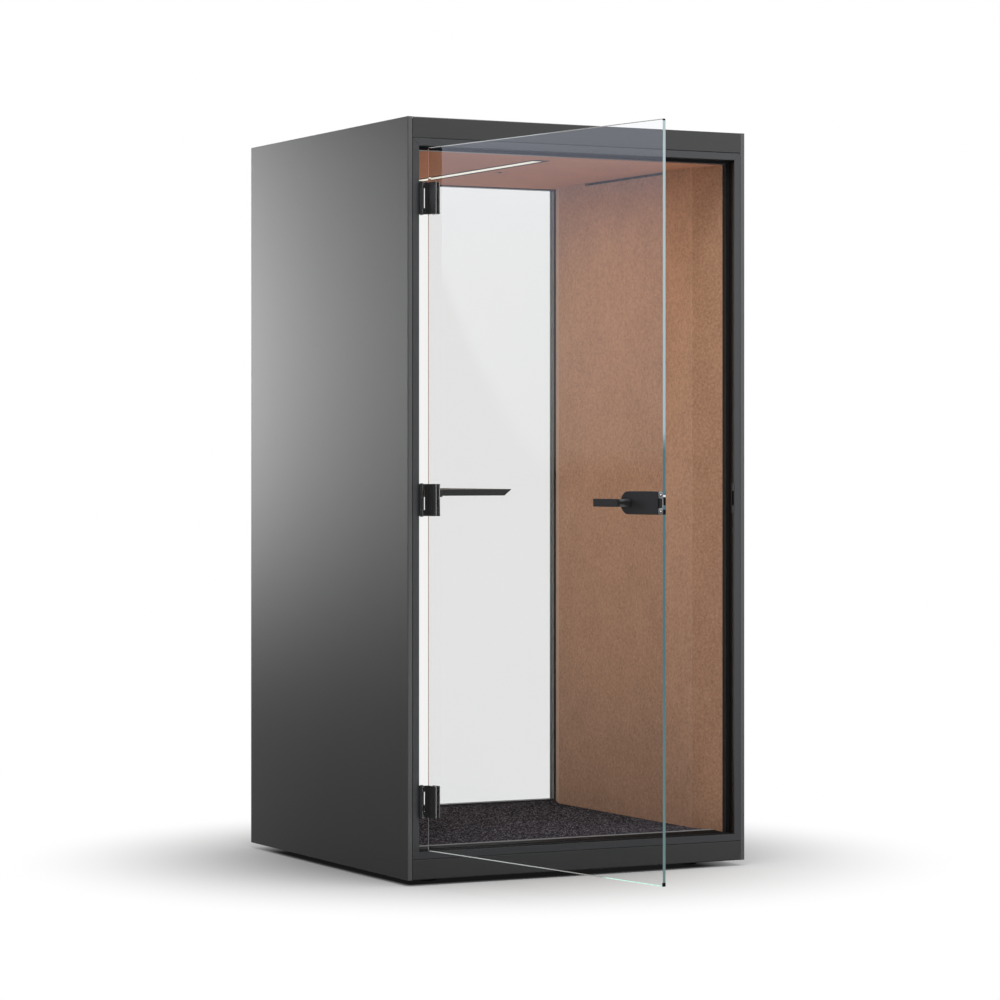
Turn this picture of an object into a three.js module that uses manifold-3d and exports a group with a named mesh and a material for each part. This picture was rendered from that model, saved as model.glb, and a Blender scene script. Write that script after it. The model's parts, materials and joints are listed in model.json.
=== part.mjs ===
// Acoustic office pod: a one-person booth with felt-lined walls, a fixed glass back
// and a frameless glass door, shown with its door swung open.
// Millimetres, +Z up. X runs across the doorway, Y from the doorway to the back glass.
// The origin lies on the floor below the middle of the doorway.

import * as THREE from 'three';
import { mergeVertices } from 'three/addons/utils/BufferGeometryUtils.js';
import Module from 'manifold-3d';

const wasm = await Module();
wasm.setup();

// Overall sizes
const podWidth = 1170;
const podDepth = 1170;
const podHeight = 2286;
const originBehindFront = 42; // depth of the origin behind the front plane

// Common clearances
const fit = 0.3; // between pieces that seat on each other
const shadowGap = 0.4; // open joint between the frame and the panels round it
const overlap = 1; // joined solids run into each other, and cutters past a face, by this much

// Folded sheet: side panels and fascias
const sheet = 1.5;
const bendRadius = 3;
const bendSteps = 4;
const panelEdge = 16;
const panelReturn = 14;
const panelBottom = 18;
const topFascia = 63;
const bottomFascia = 61;
const fasciaFlange = 14;
const rearFasciaSetback = 1.5;

// Door frame, a hollow extrusion with a stop for the door
const frameFace = 21.2;
const frameWall = 2.2;
const stopDepth = 22;
const stopReveal = 12;
const sealWidth = 9;
const sealThickness = 3.8;
const sealGap = 0.5; // between the seal and the closed glass

// Rear frame, which holds the fixed glass against a lip
const rearFrameDepth = 30;
const rearBodyInset = 47; // body of the post, from the pod's side
const rearClearInset = 60; // edge of the clear glass, from the pod's side
const rearClearBottom = 112;
const rearClearDrop = 4; // lip of the head rail below the ceiling
const rearLipStart = 13; // lip's glass side, from the rear plane
const rearGlassThickness = 8;
const rearGlassBite = 10.5; // glass held behind the lip
const beadThickness = 4.7;

// Walls, floor and ceiling
const wallThickness = 90;
const feltThickness = 12;
const frontSplay = 115; // depth of the splayed felt beside the door
const rearSplay = 91; // depth of the splayed felt beside the back glass
const feltRearInset = 53;
const panelAirGap = 0.7;
const deckThickness = 20.2;
const carpetThickness = 8;
const ceilingDrop = 97; // ceiling below the top of the pod
const roofThickness = 18;
const roofDrop = 4; // roof surface below the panels' top edge
const roofGap = 1.5; // between the roof's edge and the fascia flanges
const plinthInset = 24;
const plinthCorner = 10;
const footRadius = 28;
const footInset = 130;
const footChamfer = 2;
const footRim = 5; // height of the pad's upright edge
const footNeck = 9; // height where the stem starts
const plinthBottom = 20;
const thresholdDepth = 48;
const thresholdFront = 3; // height of the ramp's front edge over the deck
const thresholdRear = 8.5;
const thresholdNose = 4;

// Air slot over the right wall lining, and the fan under the roof
const ventEndGap = 180.7; // from each end of the straight wall
const ventHeight = 9;
const ventDuctDepth = 30;
const fanSize = 120;
const fanDepth = 25;
const fanBore = 57; // radius
const fanHub = 20; // radius
const fanRoot = 15; // radius where the blades start, inside the hub
const fanBlades = 7;
const fanRootPitch = 48; // degrees
const fanTwist = 22; // degrees less at the tip
const fanRootChord = 26;
const fanChordGrowth = 8;
const fanCamber = 3;
const fanBladeEdge = 0.5; // half thickness along the blade's edges
const fanBladeBulge = 0.5; // half thickness added in the middle
const fanBladeRise = 0.55; // share of the pitched height that the blade keeps
const fanCorner = 6;
const fanArmThickness = 4;
const fanArmWidth = 6;
const fanShaft = 3; // radius
const fanShaftShort = 6; // shaft's end below the roof
const fanHubShort = 4; // hub's top below the roof
const fanTipGap = 1.5;
const fanAcross = 250; // from the middle of the pod
const roofSlots = 7;
const roofSlotWidth = 8;
const roofSlotPitch = 15;
const roofSlotLength = 104;

// Light, sensor and power inlet
const lightWidth = 40;
const lightAcross = -45;
const lightWall = 2;
const lightHeight = 15;
const diffuserThickness = 3;
const diffuserCorner = 2;
const lightEndBlock = 25;
const sensorAcross = 39.5;
const sensorRadius = 5;
const sensorRim = 7;
const sensorDrop = 2.5;
const inletWidth = 48;
const inletHeight = 28;
const inletDepth = 36;
const inletFlange = 6;
const inletAcross = 350;
const inletBelowTop = 38; // its middle, from the pod's top
const socketWall = 6;
const socketDepth = 17;
const pinPitch = 8;
const pinWidth = 2;
const pinTall = 5;
const pinSetback = 4; // pin's end behind the rear plane

// Standing desk on the left wall
const deskReach = 360;
const deskEndGap = 29.7; // from each end of the straight wall
const deskThickness = 20;
const deskTopHeight = 1177;
const deskUndercut = 23;
const deskNose = 1.5;
const bracketReach = 150;
const bracketDrop = 60;
const bracketThickness = 4;
const bracketEndGap = 82.7; // from each end of the straight wall
const bracketGussets = 3;
const gussetShort = 6; // gusset's end short of the angle's edge

// Door leaf
const doorOpenAngle = THREE.MathUtils.degToRad(80.2);
const glassThickness = 10;
const glassSetback = 15.7; // outer face behind the front plane when closed
const glassSideGap = 6;
const glassBottomGap = 2.5;
const glassTopGap = 7;
const glassArris = 0.8;
const glassCorner = 3;

// Hinges
const hingeAxisInset = 42; // from the pod's left side
const hingeAxisProud = 7.3; // in front of the front plane
const hingeFoot = 251; // middle of the lowest hinge above the floor
const hingeDrop = 243; // middle of the highest hinge below the top of the pod
const hingeNames = ['lower', 'middle', 'upper'];
const hingeLength = 95.5;
const knuckleRadius = 7;
const knuckleLength = 58;
const pinRadius = 3;
const pinHeadRadius = 5.5;
const pinHead = 1.6;
const leafThickness = 3;
const leafDepth = 24;
const clampReach = 45; // clamp plate over the glass
const clampThickness = 6;
const clampRib = 12.3;
const clampRibWidth = 12;
const clampWebStart = 0.5; // web's inner side beyond the hinge axis
const innerPlateStart = 7;
const innerPlateReach = 40;
const innerPlateThickness = 5;
const plateRound = 1.2;

// Lock and levers
const lockHeight = 1147.5;
const lockLength = 161;
const lockTall = 63.6;
const lockThickness = 17;
const lockBevel = 1;
const faceplateThickness = 2;
const faceplateProud = 2; // beyond the glass edge
const faceplateCorner = 5;
const spindleBackset = 124; // from the faceplate's face
const innerLockThickness = 8;
const innerLockEnd = 8; // short of the glass edge, clear of the door stop
const latchThickness = 9.5;
const latchTall = 25;
const latchThrow = 12;
const latchLength = 46;
const latchInCase = 4.2; // from the case's outer face
const latchPlay = 0.8; // round the bolt in the strike
const latchNose = 2.25; // flat end of the bolt
const latchSlope = 8.4; // length of the sloping side
const strikeThickness = 1.6;
const strikeTall = 92;
const strikeOpening = 45; // height of the opening for the bolt
const strikeWidth = 17;
const strikeLead = 1.7; // strike's edge in front of the bolt
const leverLength = 95;
const leverTall = 22;
const leverThickness = 10;
const leverRound = 2;
const leverStandoff = 42;
const neckRadius = 11;
const spindleSide = 8;
const spindleGrip = 26; // spindle inside each lever's neck
const spindleHoleRadius = 6;
const glassSpindleHole = 10; // radius

// Heights and insets worked out from the sizes above
const halfWidth = podWidth / 2;
const frameInset = panelEdge + shadowGap;
const openingInset = frameInset + frameFace;
const rebateDepth = glassSetback + glassThickness + sealThickness + sealGap;
const frameDepth = rebateDepth + stopDepth;
const stopInset = openingInset + stopReveal;
const frameTop = podHeight - topFascia - shadowGap;
const openingTop = frameTop - frameFace;
const sillBottom = panelBottom + bottomFascia + shadowGap;
const openingBottom = sillBottom + frameFace;
const deckTop = sillBottom + deckThickness;
const carpetTop = deckTop + carpetThickness;
const ceilingHeight = podHeight - ceilingDrop;
const ceilingTop = ceilingHeight + feltThickness;
const roofTop = podHeight - roofDrop;
const roofBottom = roofTop - roofThickness;
const wallFront = frameDepth + fit;
const wallRear = podDepth - rearFrameDepth - fit;
const coreInset = sheet + panelAirGap;
const roomFront = wallFront + frontSplay;
const roomRear = wallRear - rearSplay;
const roomMiddle = (roomFront + roomRear) / 2;
const rearClearTop = ceilingHeight - rearClearDrop;
const hingeHeights = [hingeFoot, (hingeFoot + podHeight - hingeDrop) / 2, podHeight - hingeDrop];

// Finishes: colour, roughness, metalness
const finishes = {
  anthracite: [0x3f4042, 0.42, 0.3],
  frame: [0x454649, 0.4, 0.5],
  rubber: [0x141415, 0.8, 0],
  felt: [0x8a5f49, 0.95, 0],
  core: [0x6f6a63, 1, 0],
  plywood: [0x9c7f58, 0.8, 0],
  carpet: [0x322f36, 1, 0],
  aluminium: [0xa9abad, 0.35, 1],
  blackSatin: [0x1c1d1f, 0.38, 0.2],
  steel: [0xb9bbbd, 0.25, 1],
  glass: [0xdfeeee, 0.02, 0],
  diffuser: [0xfdf6e0, 0.6, 0],
  desk: [0x4b4c4e, 0.55, 0],
  plastic: [0x1a1a1b, 0.55, 0],
};

function finish(name) {
  const [color, roughness, metalness] = finishes[name];
  const clear = name === 'glass';
  return new THREE.MeshStandardMaterial({
    color, roughness, metalness, transparent: clear, opacity: clear ? 0.25 : 1,
  });
}

const pod = new THREE.Group();
pod.position.y = -originBehindFront;

function add(parent, name, geometry, finishName) {
  const welded = weld(geometry);
  welded.computeVertexNormals();
  const mesh = new THREE.Mesh(welded, finish(finishName));
  mesh.name = name;
  parent.add(mesh);
}

// Shared vertices merged and collapsed triangles dropped
function weld(geometry) {
  const bare = geometry.clone();
  bare.deleteAttribute('normal');
  bare.deleteAttribute('uv');
  const merged = mergeVertices(bare);
  const corners = merged.index.array;
  const kept = [];
  for (let i = 0; i < corners.length; i += 3) {
    const [a, b, c] = [corners[i], corners[i + 1], corners[i + 2]];
    if (a !== b && b !== c && c !== a) kept.push(a, b, c);
  }
  merged.setIndex(kept);
  return merged;
}

function toSolid(geometry) {
  const welded = weld(geometry);
  return new wasm.Manifold(new wasm.Mesh({
    numProp: 3,
    vertProperties: new Float32Array(welded.attributes.position.array),
    triVerts: new Uint32Array(welded.index.array),
  }));
}

function toGeometry(solid) {
  const mesh = solid.getMesh();
  const geometry = new THREE.BufferGeometry();
  geometry.setAttribute('position', new THREE.BufferAttribute(mesh.vertProperties, 3));
  geometry.setIndex(new THREE.BufferAttribute(mesh.triVerts, 1));
  return geometry;
}

function join(...geometries) {
  return toGeometry(geometries.map(toSolid).reduce((whole, piece) => whole.add(piece)));
}

function cut(geometry, ...tools) {
  return toGeometry(tools.map(toSolid).reduce((whole, tool) => whole.subtract(tool), toSolid(geometry)));
}

function box(x0, x1, y0, y1, z0, z1) {
  return new THREE.BoxGeometry(x1 - x0, y1 - y0, z1 - z0)
    .translate((x0 + x1) / 2, (y0 + y1) / 2, (z0 + z1) / 2);
}

// Corner points as a shape, always anticlockwise so that holes face the right way
function outline(points) {
  const corners = points.map(([x, y]) => new THREE.Vector2(x, y));
  if (THREE.ShapeUtils.isClockWise(corners)) corners.reverse();
  return new THREE.Shape(corners);
}

function extrude(shape, length, bevel, arcSteps) {
  return new THREE.ExtrudeGeometry(shape, {
    depth: length - 2 * bevel,
    bevelEnabled: bevel > 0,
    bevelThickness: bevel,
    bevelSize: bevel,
    bevelOffset: -bevel,
    bevelSegments: 1,
    curveSegments: arcSteps,
  }).translate(0, 0, bevel);
}

// A plan outline (x, y) carried up from z0 to z1
function upright(shape, z0, z1, arcSteps = 2) {
  return extrude(shape, z1 - z0, 0, arcSteps).translate(0, 0, z0);
}

// A section (y, z) carried along x
function alongX(shape, x0, x1, arcSteps = 1) {
  const basis = new THREE.Matrix4().makeBasis(
    new THREE.Vector3(0, 1, 0), new THREE.Vector3(0, 0, 1), new THREE.Vector3(1, 0, 0),
  );
  return extrude(shape, x1 - x0, 0, arcSteps).applyMatrix4(basis).translate(x0, 0, 0);
}

// A front view (x, z) carried through depth y
function alongY(shape, y0, y1, bevel = 0, arcSteps = 2) {
  return extrude(shape, y1 - y0, bevel, arcSteps).rotateX(Math.PI / 2).translate(0, y1, 0);
}

function rectangle(x0, x1, y0, y1) {
  return outline([[x0, y0], [x1, y0], [x1, y1], [x0, y1]]);
}

function roundedRectangle(x0, x1, y0, y1, radius) {
  const shape = new THREE.Shape();
  shape.absarc(x1 - radius, y0 + radius, radius, -Math.PI / 2, 0);
  shape.absarc(x1 - radius, y1 - radius, radius, 0, Math.PI / 2);
  shape.absarc(x0 + radius, y1 - radius, radius, Math.PI / 2, Math.PI);
  shape.absarc(x0 + radius, y0 + radius, radius, Math.PI, 1.5 * Math.PI);
  return shape;
}

function rod(radius, x, y, z0, z1, sides = 24) {
  return new THREE.CylinderGeometry(radius, radius, z1 - z0, sides)
    .rotateX(Math.PI / 2).translate(x, y, (z0 + z1) / 2);
}

function rodAlongY(radius, x, z, y0, y1, sides = 24) {
  return new THREE.CylinderGeometry(radius, radius, y1 - y0, sides).translate(x, (y0 + y1) / 2, z);
}

// A profile of [radius, height] points turned about the vertical through (x, y)
function turned(profile, x, y, sides = 28) {
  const points = profile.map(([radius, height]) => new THREE.Vector2(radius, height));
  return new THREE.LatheGeometry(points, sides).rotateX(Math.PI / 2).translate(x, y, 0);
}

// The outline of a sheet bent along a line that always turns the same way:
// the line is its outer face, and the corners are arcs round the bend centres
function foldedSheet(line) {
  const outer = [];
  const inner = [];
  const last = line.length - 1;
  const direction = (i) => {
    const [dx, dy] = [line[i + 1][0] - line[i][0], line[i + 1][1] - line[i][1]];
    return [dx / Math.hypot(dx, dy), dy / Math.hypot(dx, dy)];
  };
  const [ax, ay] = direction(0);
  const [bx, by] = direction(1);
  const turn = Math.sign(ax * by - ay * bx);
  const inward = (i) => {
    const [dx, dy] = direction(i);
    return [-dy * turn, dx * turn];
  };
  const end = (i, normal) => {
    outer.push(line[i]);
    inner.push([line[i][0] + normal[0] * sheet, line[i][1] + normal[1] * sheet]);
  };
  end(0, inward(0));
  for (let i = 1; i < last; i++) {
    const [from, to] = [inward(i - 1), inward(i)];
    const back = direction(i - 1);
    const centre = [0, 1].map((k) => line[i][k] - back[k] * bendRadius + from[k] * bendRadius);
    for (let step = 0; step <= bendSteps; step++) {
      const angle = (step / bendSteps) * (Math.PI / 2);
      const arm = [0, 1].map((k) => -from[k] * Math.cos(angle) - to[k] * Math.sin(angle));
      outer.push([0, 1].map((k) => centre[k] + arm[k] * bendRadius));
      inner.push([0, 1].map((k) => centre[k] + arm[k] * (bendRadius - sheet)));
    }
  }
  end(last, inward(last - 1));
  return outline([...outer, ...inner.reverse()]);
}

// Moves the vertices at one end of a bar to a mitre or a slanted end
function shapeEnds(geometry, isEnd, moveTo) {
  const position = geometry.attributes.position;
  const vertex = new THREE.Vector3();
  for (let i = 0; i < position.count; i++) {
    vertex.fromBufferAttribute(position, i);
    if (isEnd(vertex)) {
      moveTo(vertex);
      position.setXYZ(i, vertex.x, vertex.y, vertex.z);
    }
  }
  return geometry;
}

// Plan of a wall surface that lies a distance behind the felt's room face:
// [inset from the pod's side, depth] from the door end to the glass end
function wallLine(behind) {
  const frontSlope = (wallThickness - stopInset) / frontSplay;
  const rearSlope = (wallThickness - feltRearInset) / rearSplay;
  const flat = wallThickness - behind;
  const start = stopInset - behind * Math.hypot(1, frontSlope);
  const end = feltRearInset - behind * Math.hypot(1, rearSlope);
  return [
    [start, wallFront],
    [flat, wallFront + (flat - start) / frontSlope],
    [flat, wallRear - (flat - end) / rearSlope],
    [end, wallRear],
  ];
}

// Insets become x on the left side (-1) or the right side (+1)
function onSide(side, points) {
  return points.map(([inset, depth]) => [side * (halfWidth - inset), depth]);
}

// A plan that runs from one wall line to the same line of the other wall
function betweenWalls(line) {
  return outline([...onSide(-1, line), ...onSide(1, line).reverse()]);
}

const sides = [['left', -1], ['right', 1]];

// Base: plinth on four levelling feet, deck, carpet and threshold
function buildFloor() {
  const plinth = roundedRectangle(
    -halfWidth + plinthInset, halfWidth - plinthInset, plinthInset, podDepth - plinthInset, plinthCorner,
  );
  add(pod, 'base_plinth', upright(plinth, plinthBottom, sillBottom), 'plywood');

  const deckHalf = halfWidth - coreInset;
  add(pod, 'floor_deck', box(-deckHalf, deckHalf, wallFront, wallRear, sillBottom, deckTop), 'plywood');

  const [, bend, rearBend, rearEnd] = wallLine(-fit);
  const carpetFront = wallFront + thresholdDepth + fit;
  const frontSlope = (wallThickness - stopInset) / frontSplay;
  const carpetStart = [bend[0] - (bend[1] - carpetFront) * frontSlope, carpetFront];
  const carpet = betweenWalls([carpetStart, bend, rearBend, rearEnd]);
  add(pod, 'floor_carpet', upright(carpet, deckTop, carpetTop), 'carpet');

  const rampRear = wallFront + thresholdDepth;
  const ramp = outline([
    [wallFront, deckTop], [rampRear, deckTop], [rampRear, deckTop + thresholdRear],
    [rampRear - thresholdNose, deckTop + thresholdRear], [wallFront, deckTop + thresholdFront],
  ]);
  const threshold = shapeEnds(alongX(ramp, -1, 1), () => true, (vertex) => {
    const inset = bend[0] - (bend[1] - vertex.y) * frontSlope;
    vertex.x = Math.sign(vertex.x) * (halfWidth - inset);
  });
  add(pod, 'threshold_strip', threshold, 'aluminium');

  const pad = [
    [0, 0], [footRadius - footChamfer, 0], [footRadius, footChamfer], [footRadius, footRim],
    [footRadius / 2, footNeck], [footRadius / 2, plinthBottom], [0, plinthBottom],
  ];
  for (const [side, sign] of sides) {
    for (const [end, depth] of [['front', footInset], ['rear', podDepth - footInset]]) {
      add(pod, `${end}_${side}_foot`, turned(pad, sign * (halfWidth - footInset), depth), 'rubber');
    }
  }
}

// Side walls: folded outer panel, acoustic core and felt lining
function buildWalls() {
  const panelLine = [
    [panelEdge, panelReturn], [panelEdge, 0], [0, 0],
    [0, podDepth], [panelEdge, podDepth], [panelEdge, podDepth - panelReturn],
  ];
  const felt = [...wallLine(0), ...wallLine(feltThickness).reverse()];
  const core = [...wallLine(feltThickness + fit), [coreInset, wallRear], [coreInset, wallFront]];
  const ventStart = roomFront + ventEndGap;
  const ventEnd = roomRear - ventEndGap;
  const ventBottom = ceilingHeight - ventHeight;
  const feltBack = halfWidth - wallThickness + feltThickness + fit;
  const notch = box(feltBack - 2 * feltThickness, feltBack, ventStart, ventEnd, ventBottom, ceilingTop);
  const duct = box(
    feltBack - feltThickness, feltBack + ventDuctDepth, ventStart, ventEnd, ventBottom, podHeight,
  );
  for (const [side, sign] of sides) {
    const panel = foldedSheet(onSide(sign, panelLine));
    add(pod, `${side}_outer_panel`, upright(panel, panelBottom, podHeight), 'anthracite');
    let coreSolid = upright(outline(onSide(sign, core)), deckTop, roofBottom);
    let feltSolid = upright(outline(onSide(sign, felt)), deckTop, ceilingHeight);
    if (side === 'right') {
      coreSolid = cut(coreSolid, duct);
      feltSolid = cut(feltSolid, notch);
    }
    add(pod, `${side}_wall_core`, coreSolid, 'core');
    add(pod, `${side}_felt_lining`, feltSolid, 'felt');
  }
}

// Fascias are shallow channels across the pod, above and below each glazed face
function buildFascias() {
  const fasciaHalf = halfWidth - frameInset;
  const rows = [
    ['top', podHeight - topFascia, podHeight],
    ['bottom', panelBottom, panelBottom + bottomFascia],
  ];
  for (const [row, low, high] of rows) {
    const front = [[fasciaFlange, low], [0, low], [0, high], [fasciaFlange, high]];
    add(pod, `${row}_front_fascia`, alongX(foldedSheet(front), -fasciaHalf, fasciaHalf), 'anthracite');
    const face = podDepth - rearFasciaSetback;
    const rear = front.map(([depth, height]) => [face - depth, height]);
    let rearSolid = alongX(foldedSheet(rear), -fasciaHalf, fasciaHalf);
    if (row === 'top') rearSolid = cut(rearSolid, inletBlock(fit, podDepth));
    add(pod, `${row}_rear_fascia`, rearSolid, 'anthracite');
  }
}

// Ceiling, roof and the light in the ceiling
function buildCeiling() {
  const slot = [
    lightAcross - lightWidth / 2 - fit, lightAcross + lightWidth / 2 + fit, roomFront - fit, roomRear + fit,
  ];
  const ceiling = betweenWalls(wallLine(feltThickness));
  ceiling.holes.push(rectangle(...slot));
  const sensorHole = new THREE.Path();
  sensorHole.absarc(sensorAcross, roomMiddle, sensorRadius + fit, 0, 2 * Math.PI);
  ceiling.holes.push(sensorHole);
  add(pod, 'ceiling_felt', upright(ceiling, ceilingHeight, ceilingTop, 8), 'felt');

  const outer = [lightAcross - lightWidth / 2, lightAcross + lightWidth / 2];
  const channelBottom = ceilingHeight - fit;
  const trough = box(...outer, roomFront, roomRear, channelBottom, channelBottom + lightHeight);
  const hollow = box(
    outer[0] + lightWall, outer[1] - lightWall, roomFront + lightEndBlock, roomRear - lightEndBlock,
    channelBottom - overlap, channelBottom + lightHeight - lightWall,
  );
  add(pod, 'light_channel', cut(trough, hollow), 'blackSatin');
  const strip = roundedRectangle(
    outer[0] + lightWall + fit, outer[1] - lightWall - fit,
    roomFront + lightEndBlock + fit, roomRear - lightEndBlock - fit, diffuserCorner,
  );
  add(pod, 'light_diffuser', upright(strip, channelBottom, channelBottom + diffuserThickness), 'diffuser');

  const lens = [
    [0, ceilingHeight - sensorDrop - fit], [sensorRadius, ceilingHeight - sensorDrop],
    [sensorRim, ceilingHeight - sensorDrop / 2], [sensorRim, ceilingHeight - fit],
    [sensorRadius, ceilingHeight - fit], [sensorRadius, ceilingTop], [0, ceilingTop],
  ];
  add(pod, 'motion_sensor', turned(lens, sensorAcross, roomMiddle, 20), 'plastic');

  const roofHalf = halfWidth - coreInset;
  const roofRear = podDepth - rearFasciaSetback - fasciaFlange - roofGap;
  const roof = rectangle(-roofHalf, roofHalf, fasciaFlange + roofGap, roofRear);
  for (let i = 0; i < roofSlots; i++) {
    const depth = roomMiddle + (i - (roofSlots - 1) / 2) * roofSlotPitch;
    roof.holes.push(roundedRectangle(
      fanAcross - roofSlotLength / 2, fanAcross + roofSlotLength / 2,
      depth - roofSlotWidth / 2, depth + roofSlotWidth / 2, roofSlotWidth / 2 - fit,
    ));
  }
  add(pod, 'roof_panel', upright(roof, roofBottom, roofTop), 'anthracite');
}

// One twisted, cambered fan blade from the hub to the tip
function fanBlade(turn, zMiddle) {
  const spans = 2;
  const chordSteps = 4;
  const tip = fanBore - fanTipGap;
  const corners = [];
  for (let i = 0; i <= spans; i++) {
    const radius = fanRoot + (tip - fanRoot) * (i / spans);
    const pitch = THREE.MathUtils.degToRad(fanRootPitch - fanTwist * (i / spans));
    const chord = fanRootChord + fanChordGrowth * (i / spans);
    for (const skin of [1, -1]) {
      for (let j = 0; j <= chordSteps; j++) {
        const t = skin > 0 ? j / chordSteps : 1 - j / chordSteps;
        const along = (t - 0.5) * chord;
        const half = fanBladeEdge + fanBladeBulge * Math.sin(Math.PI * t);
        const lift = fanCamber * (1 - (2 * t - 1) ** 2) + skin * half;
        const around = along * Math.cos(pitch) - lift * Math.sin(pitch);
        const up = along * Math.sin(pitch) + lift * Math.cos(pitch);
        const angle = turn + around / radius;
        corners.push(new THREE.Vector3(
          fanAcross + radius * Math.cos(angle), roomMiddle + radius * Math.sin(angle),
          zMiddle + up * fanBladeRise,
        ));
      }
    }
  }
  const ring = 2 * (chordSteps + 1);
  const faces = [];
  for (let i = 0; i < spans; i++) {
    for (let j = 0; j < ring; j++) {
      const [a, b] = [i * ring + j, i * ring + ((j + 1) % ring)];
      faces.push(a, a + ring, b, b, a + ring, b + ring);
    }
  }
  for (let j = 1; j < ring - 1; j++) {
    faces.push(0, j, j + 1);
    const end = spans * ring;
    faces.push(end, end + j + 1, end + j);
  }
  const geometry = new THREE.BufferGeometry().setFromPoints(corners);
  geometry.setIndex(faces);
  return geometry;
}

// Extract fan hung under the roof slots, with its motor held on four arms
function buildFan() {
  const [low, high] = [roofBottom - fanDepth, roofBottom];
  const half = fanSize / 2;
  const frame = roundedRectangle(
    fanAcross - half, fanAcross + half, roomMiddle - half, roomMiddle + half, fanCorner,
  );
  const bore = new THREE.Path();
  bore.absarc(fanAcross, roomMiddle, fanBore, 0, 2 * Math.PI);
  frame.holes.push(bore);
  const armTop = low + fanArmThickness;
  const armHalf = fanBore + overlap;
  const arms = [0, 1].map((k) => box(-armHalf, armHalf, -fanArmWidth / 2, fanArmWidth / 2, low, armTop)
    .rotateZ(Math.PI / 4 + k * Math.PI / 2).translate(fanAcross, roomMiddle, 0));
  const motor = rod(fanHub - fanTipGap, fanAcross, roomMiddle, low, armTop, 28);
  const shaft = rod(fanShaft, fanAcross, roomMiddle, low + overlap, high - fanShaftShort, 16);
  add(pod, 'fan_housing', join(upright(frame, low, high, 20), ...arms, motor, shaft), 'plastic');

  const hubLow = armTop + fit;
  const hubTop = high - fanHubShort;
  const hub = rod(fanHub, fanAcross, roomMiddle, hubLow, hubTop, 28);
  const middle = (hubLow + hubTop) / 2;
  const blades = [];
  for (let i = 0; i < fanBlades; i++) blades.push(fanBlade((i / fanBlades) * 2 * Math.PI, middle));
  const shaftBore = rod(fanShaft + fit, fanAcross, roomMiddle, low, high - fanShaftShort + fit, 16);
  add(pod, 'fan_rotor', cut(join(hub, ...blades), shaftBore), 'plastic');
}

// The body of the power inlet in the rear fascia, grown by a clearance
function inletBlock(grow, rear) {
  const height = podHeight - inletBelowTop;
  return box(
    inletAcross - inletWidth / 2 - grow, inletAcross + inletWidth / 2 + grow,
    podDepth - inletDepth, rear, height - inletHeight / 2 - grow, height + inletHeight / 2 + grow,
  );
}

function buildPowerInlet() {
  const height = podHeight - inletBelowTop;
  const flange = alongY(roundedRectangle(
    inletAcross - inletWidth / 2 - inletFlange, inletAcross + inletWidth / 2 + inletFlange,
    height - inletHeight / 2 - inletFlange, height + inletHeight / 2 + inletFlange, inletFlange,
  ), podDepth - rearFasciaSetback, podDepth);
  const socket = box(
    inletAcross - inletWidth / 2 + socketWall, inletAcross + inletWidth / 2 - socketWall,
    podDepth - socketDepth, podDepth + overlap,
    height - inletHeight / 2 + socketWall, height + inletHeight / 2 - socketWall,
  );
  const pins = [-1, 0, 1].map((k) => box(
    inletAcross + k * pinPitch - pinWidth / 2, inletAcross + k * pinPitch + pinWidth / 2,
    podDepth - socketDepth - overlap, podDepth - pinSetback, height - pinTall / 2, height + pinTall / 2,
  ));
  const housing = cut(join(inletBlock(0, podDepth - rearFasciaSetback / 2), flange), socket);
  add(pod, 'power_inlet', join(housing, ...pins), 'plastic');
}

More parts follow.
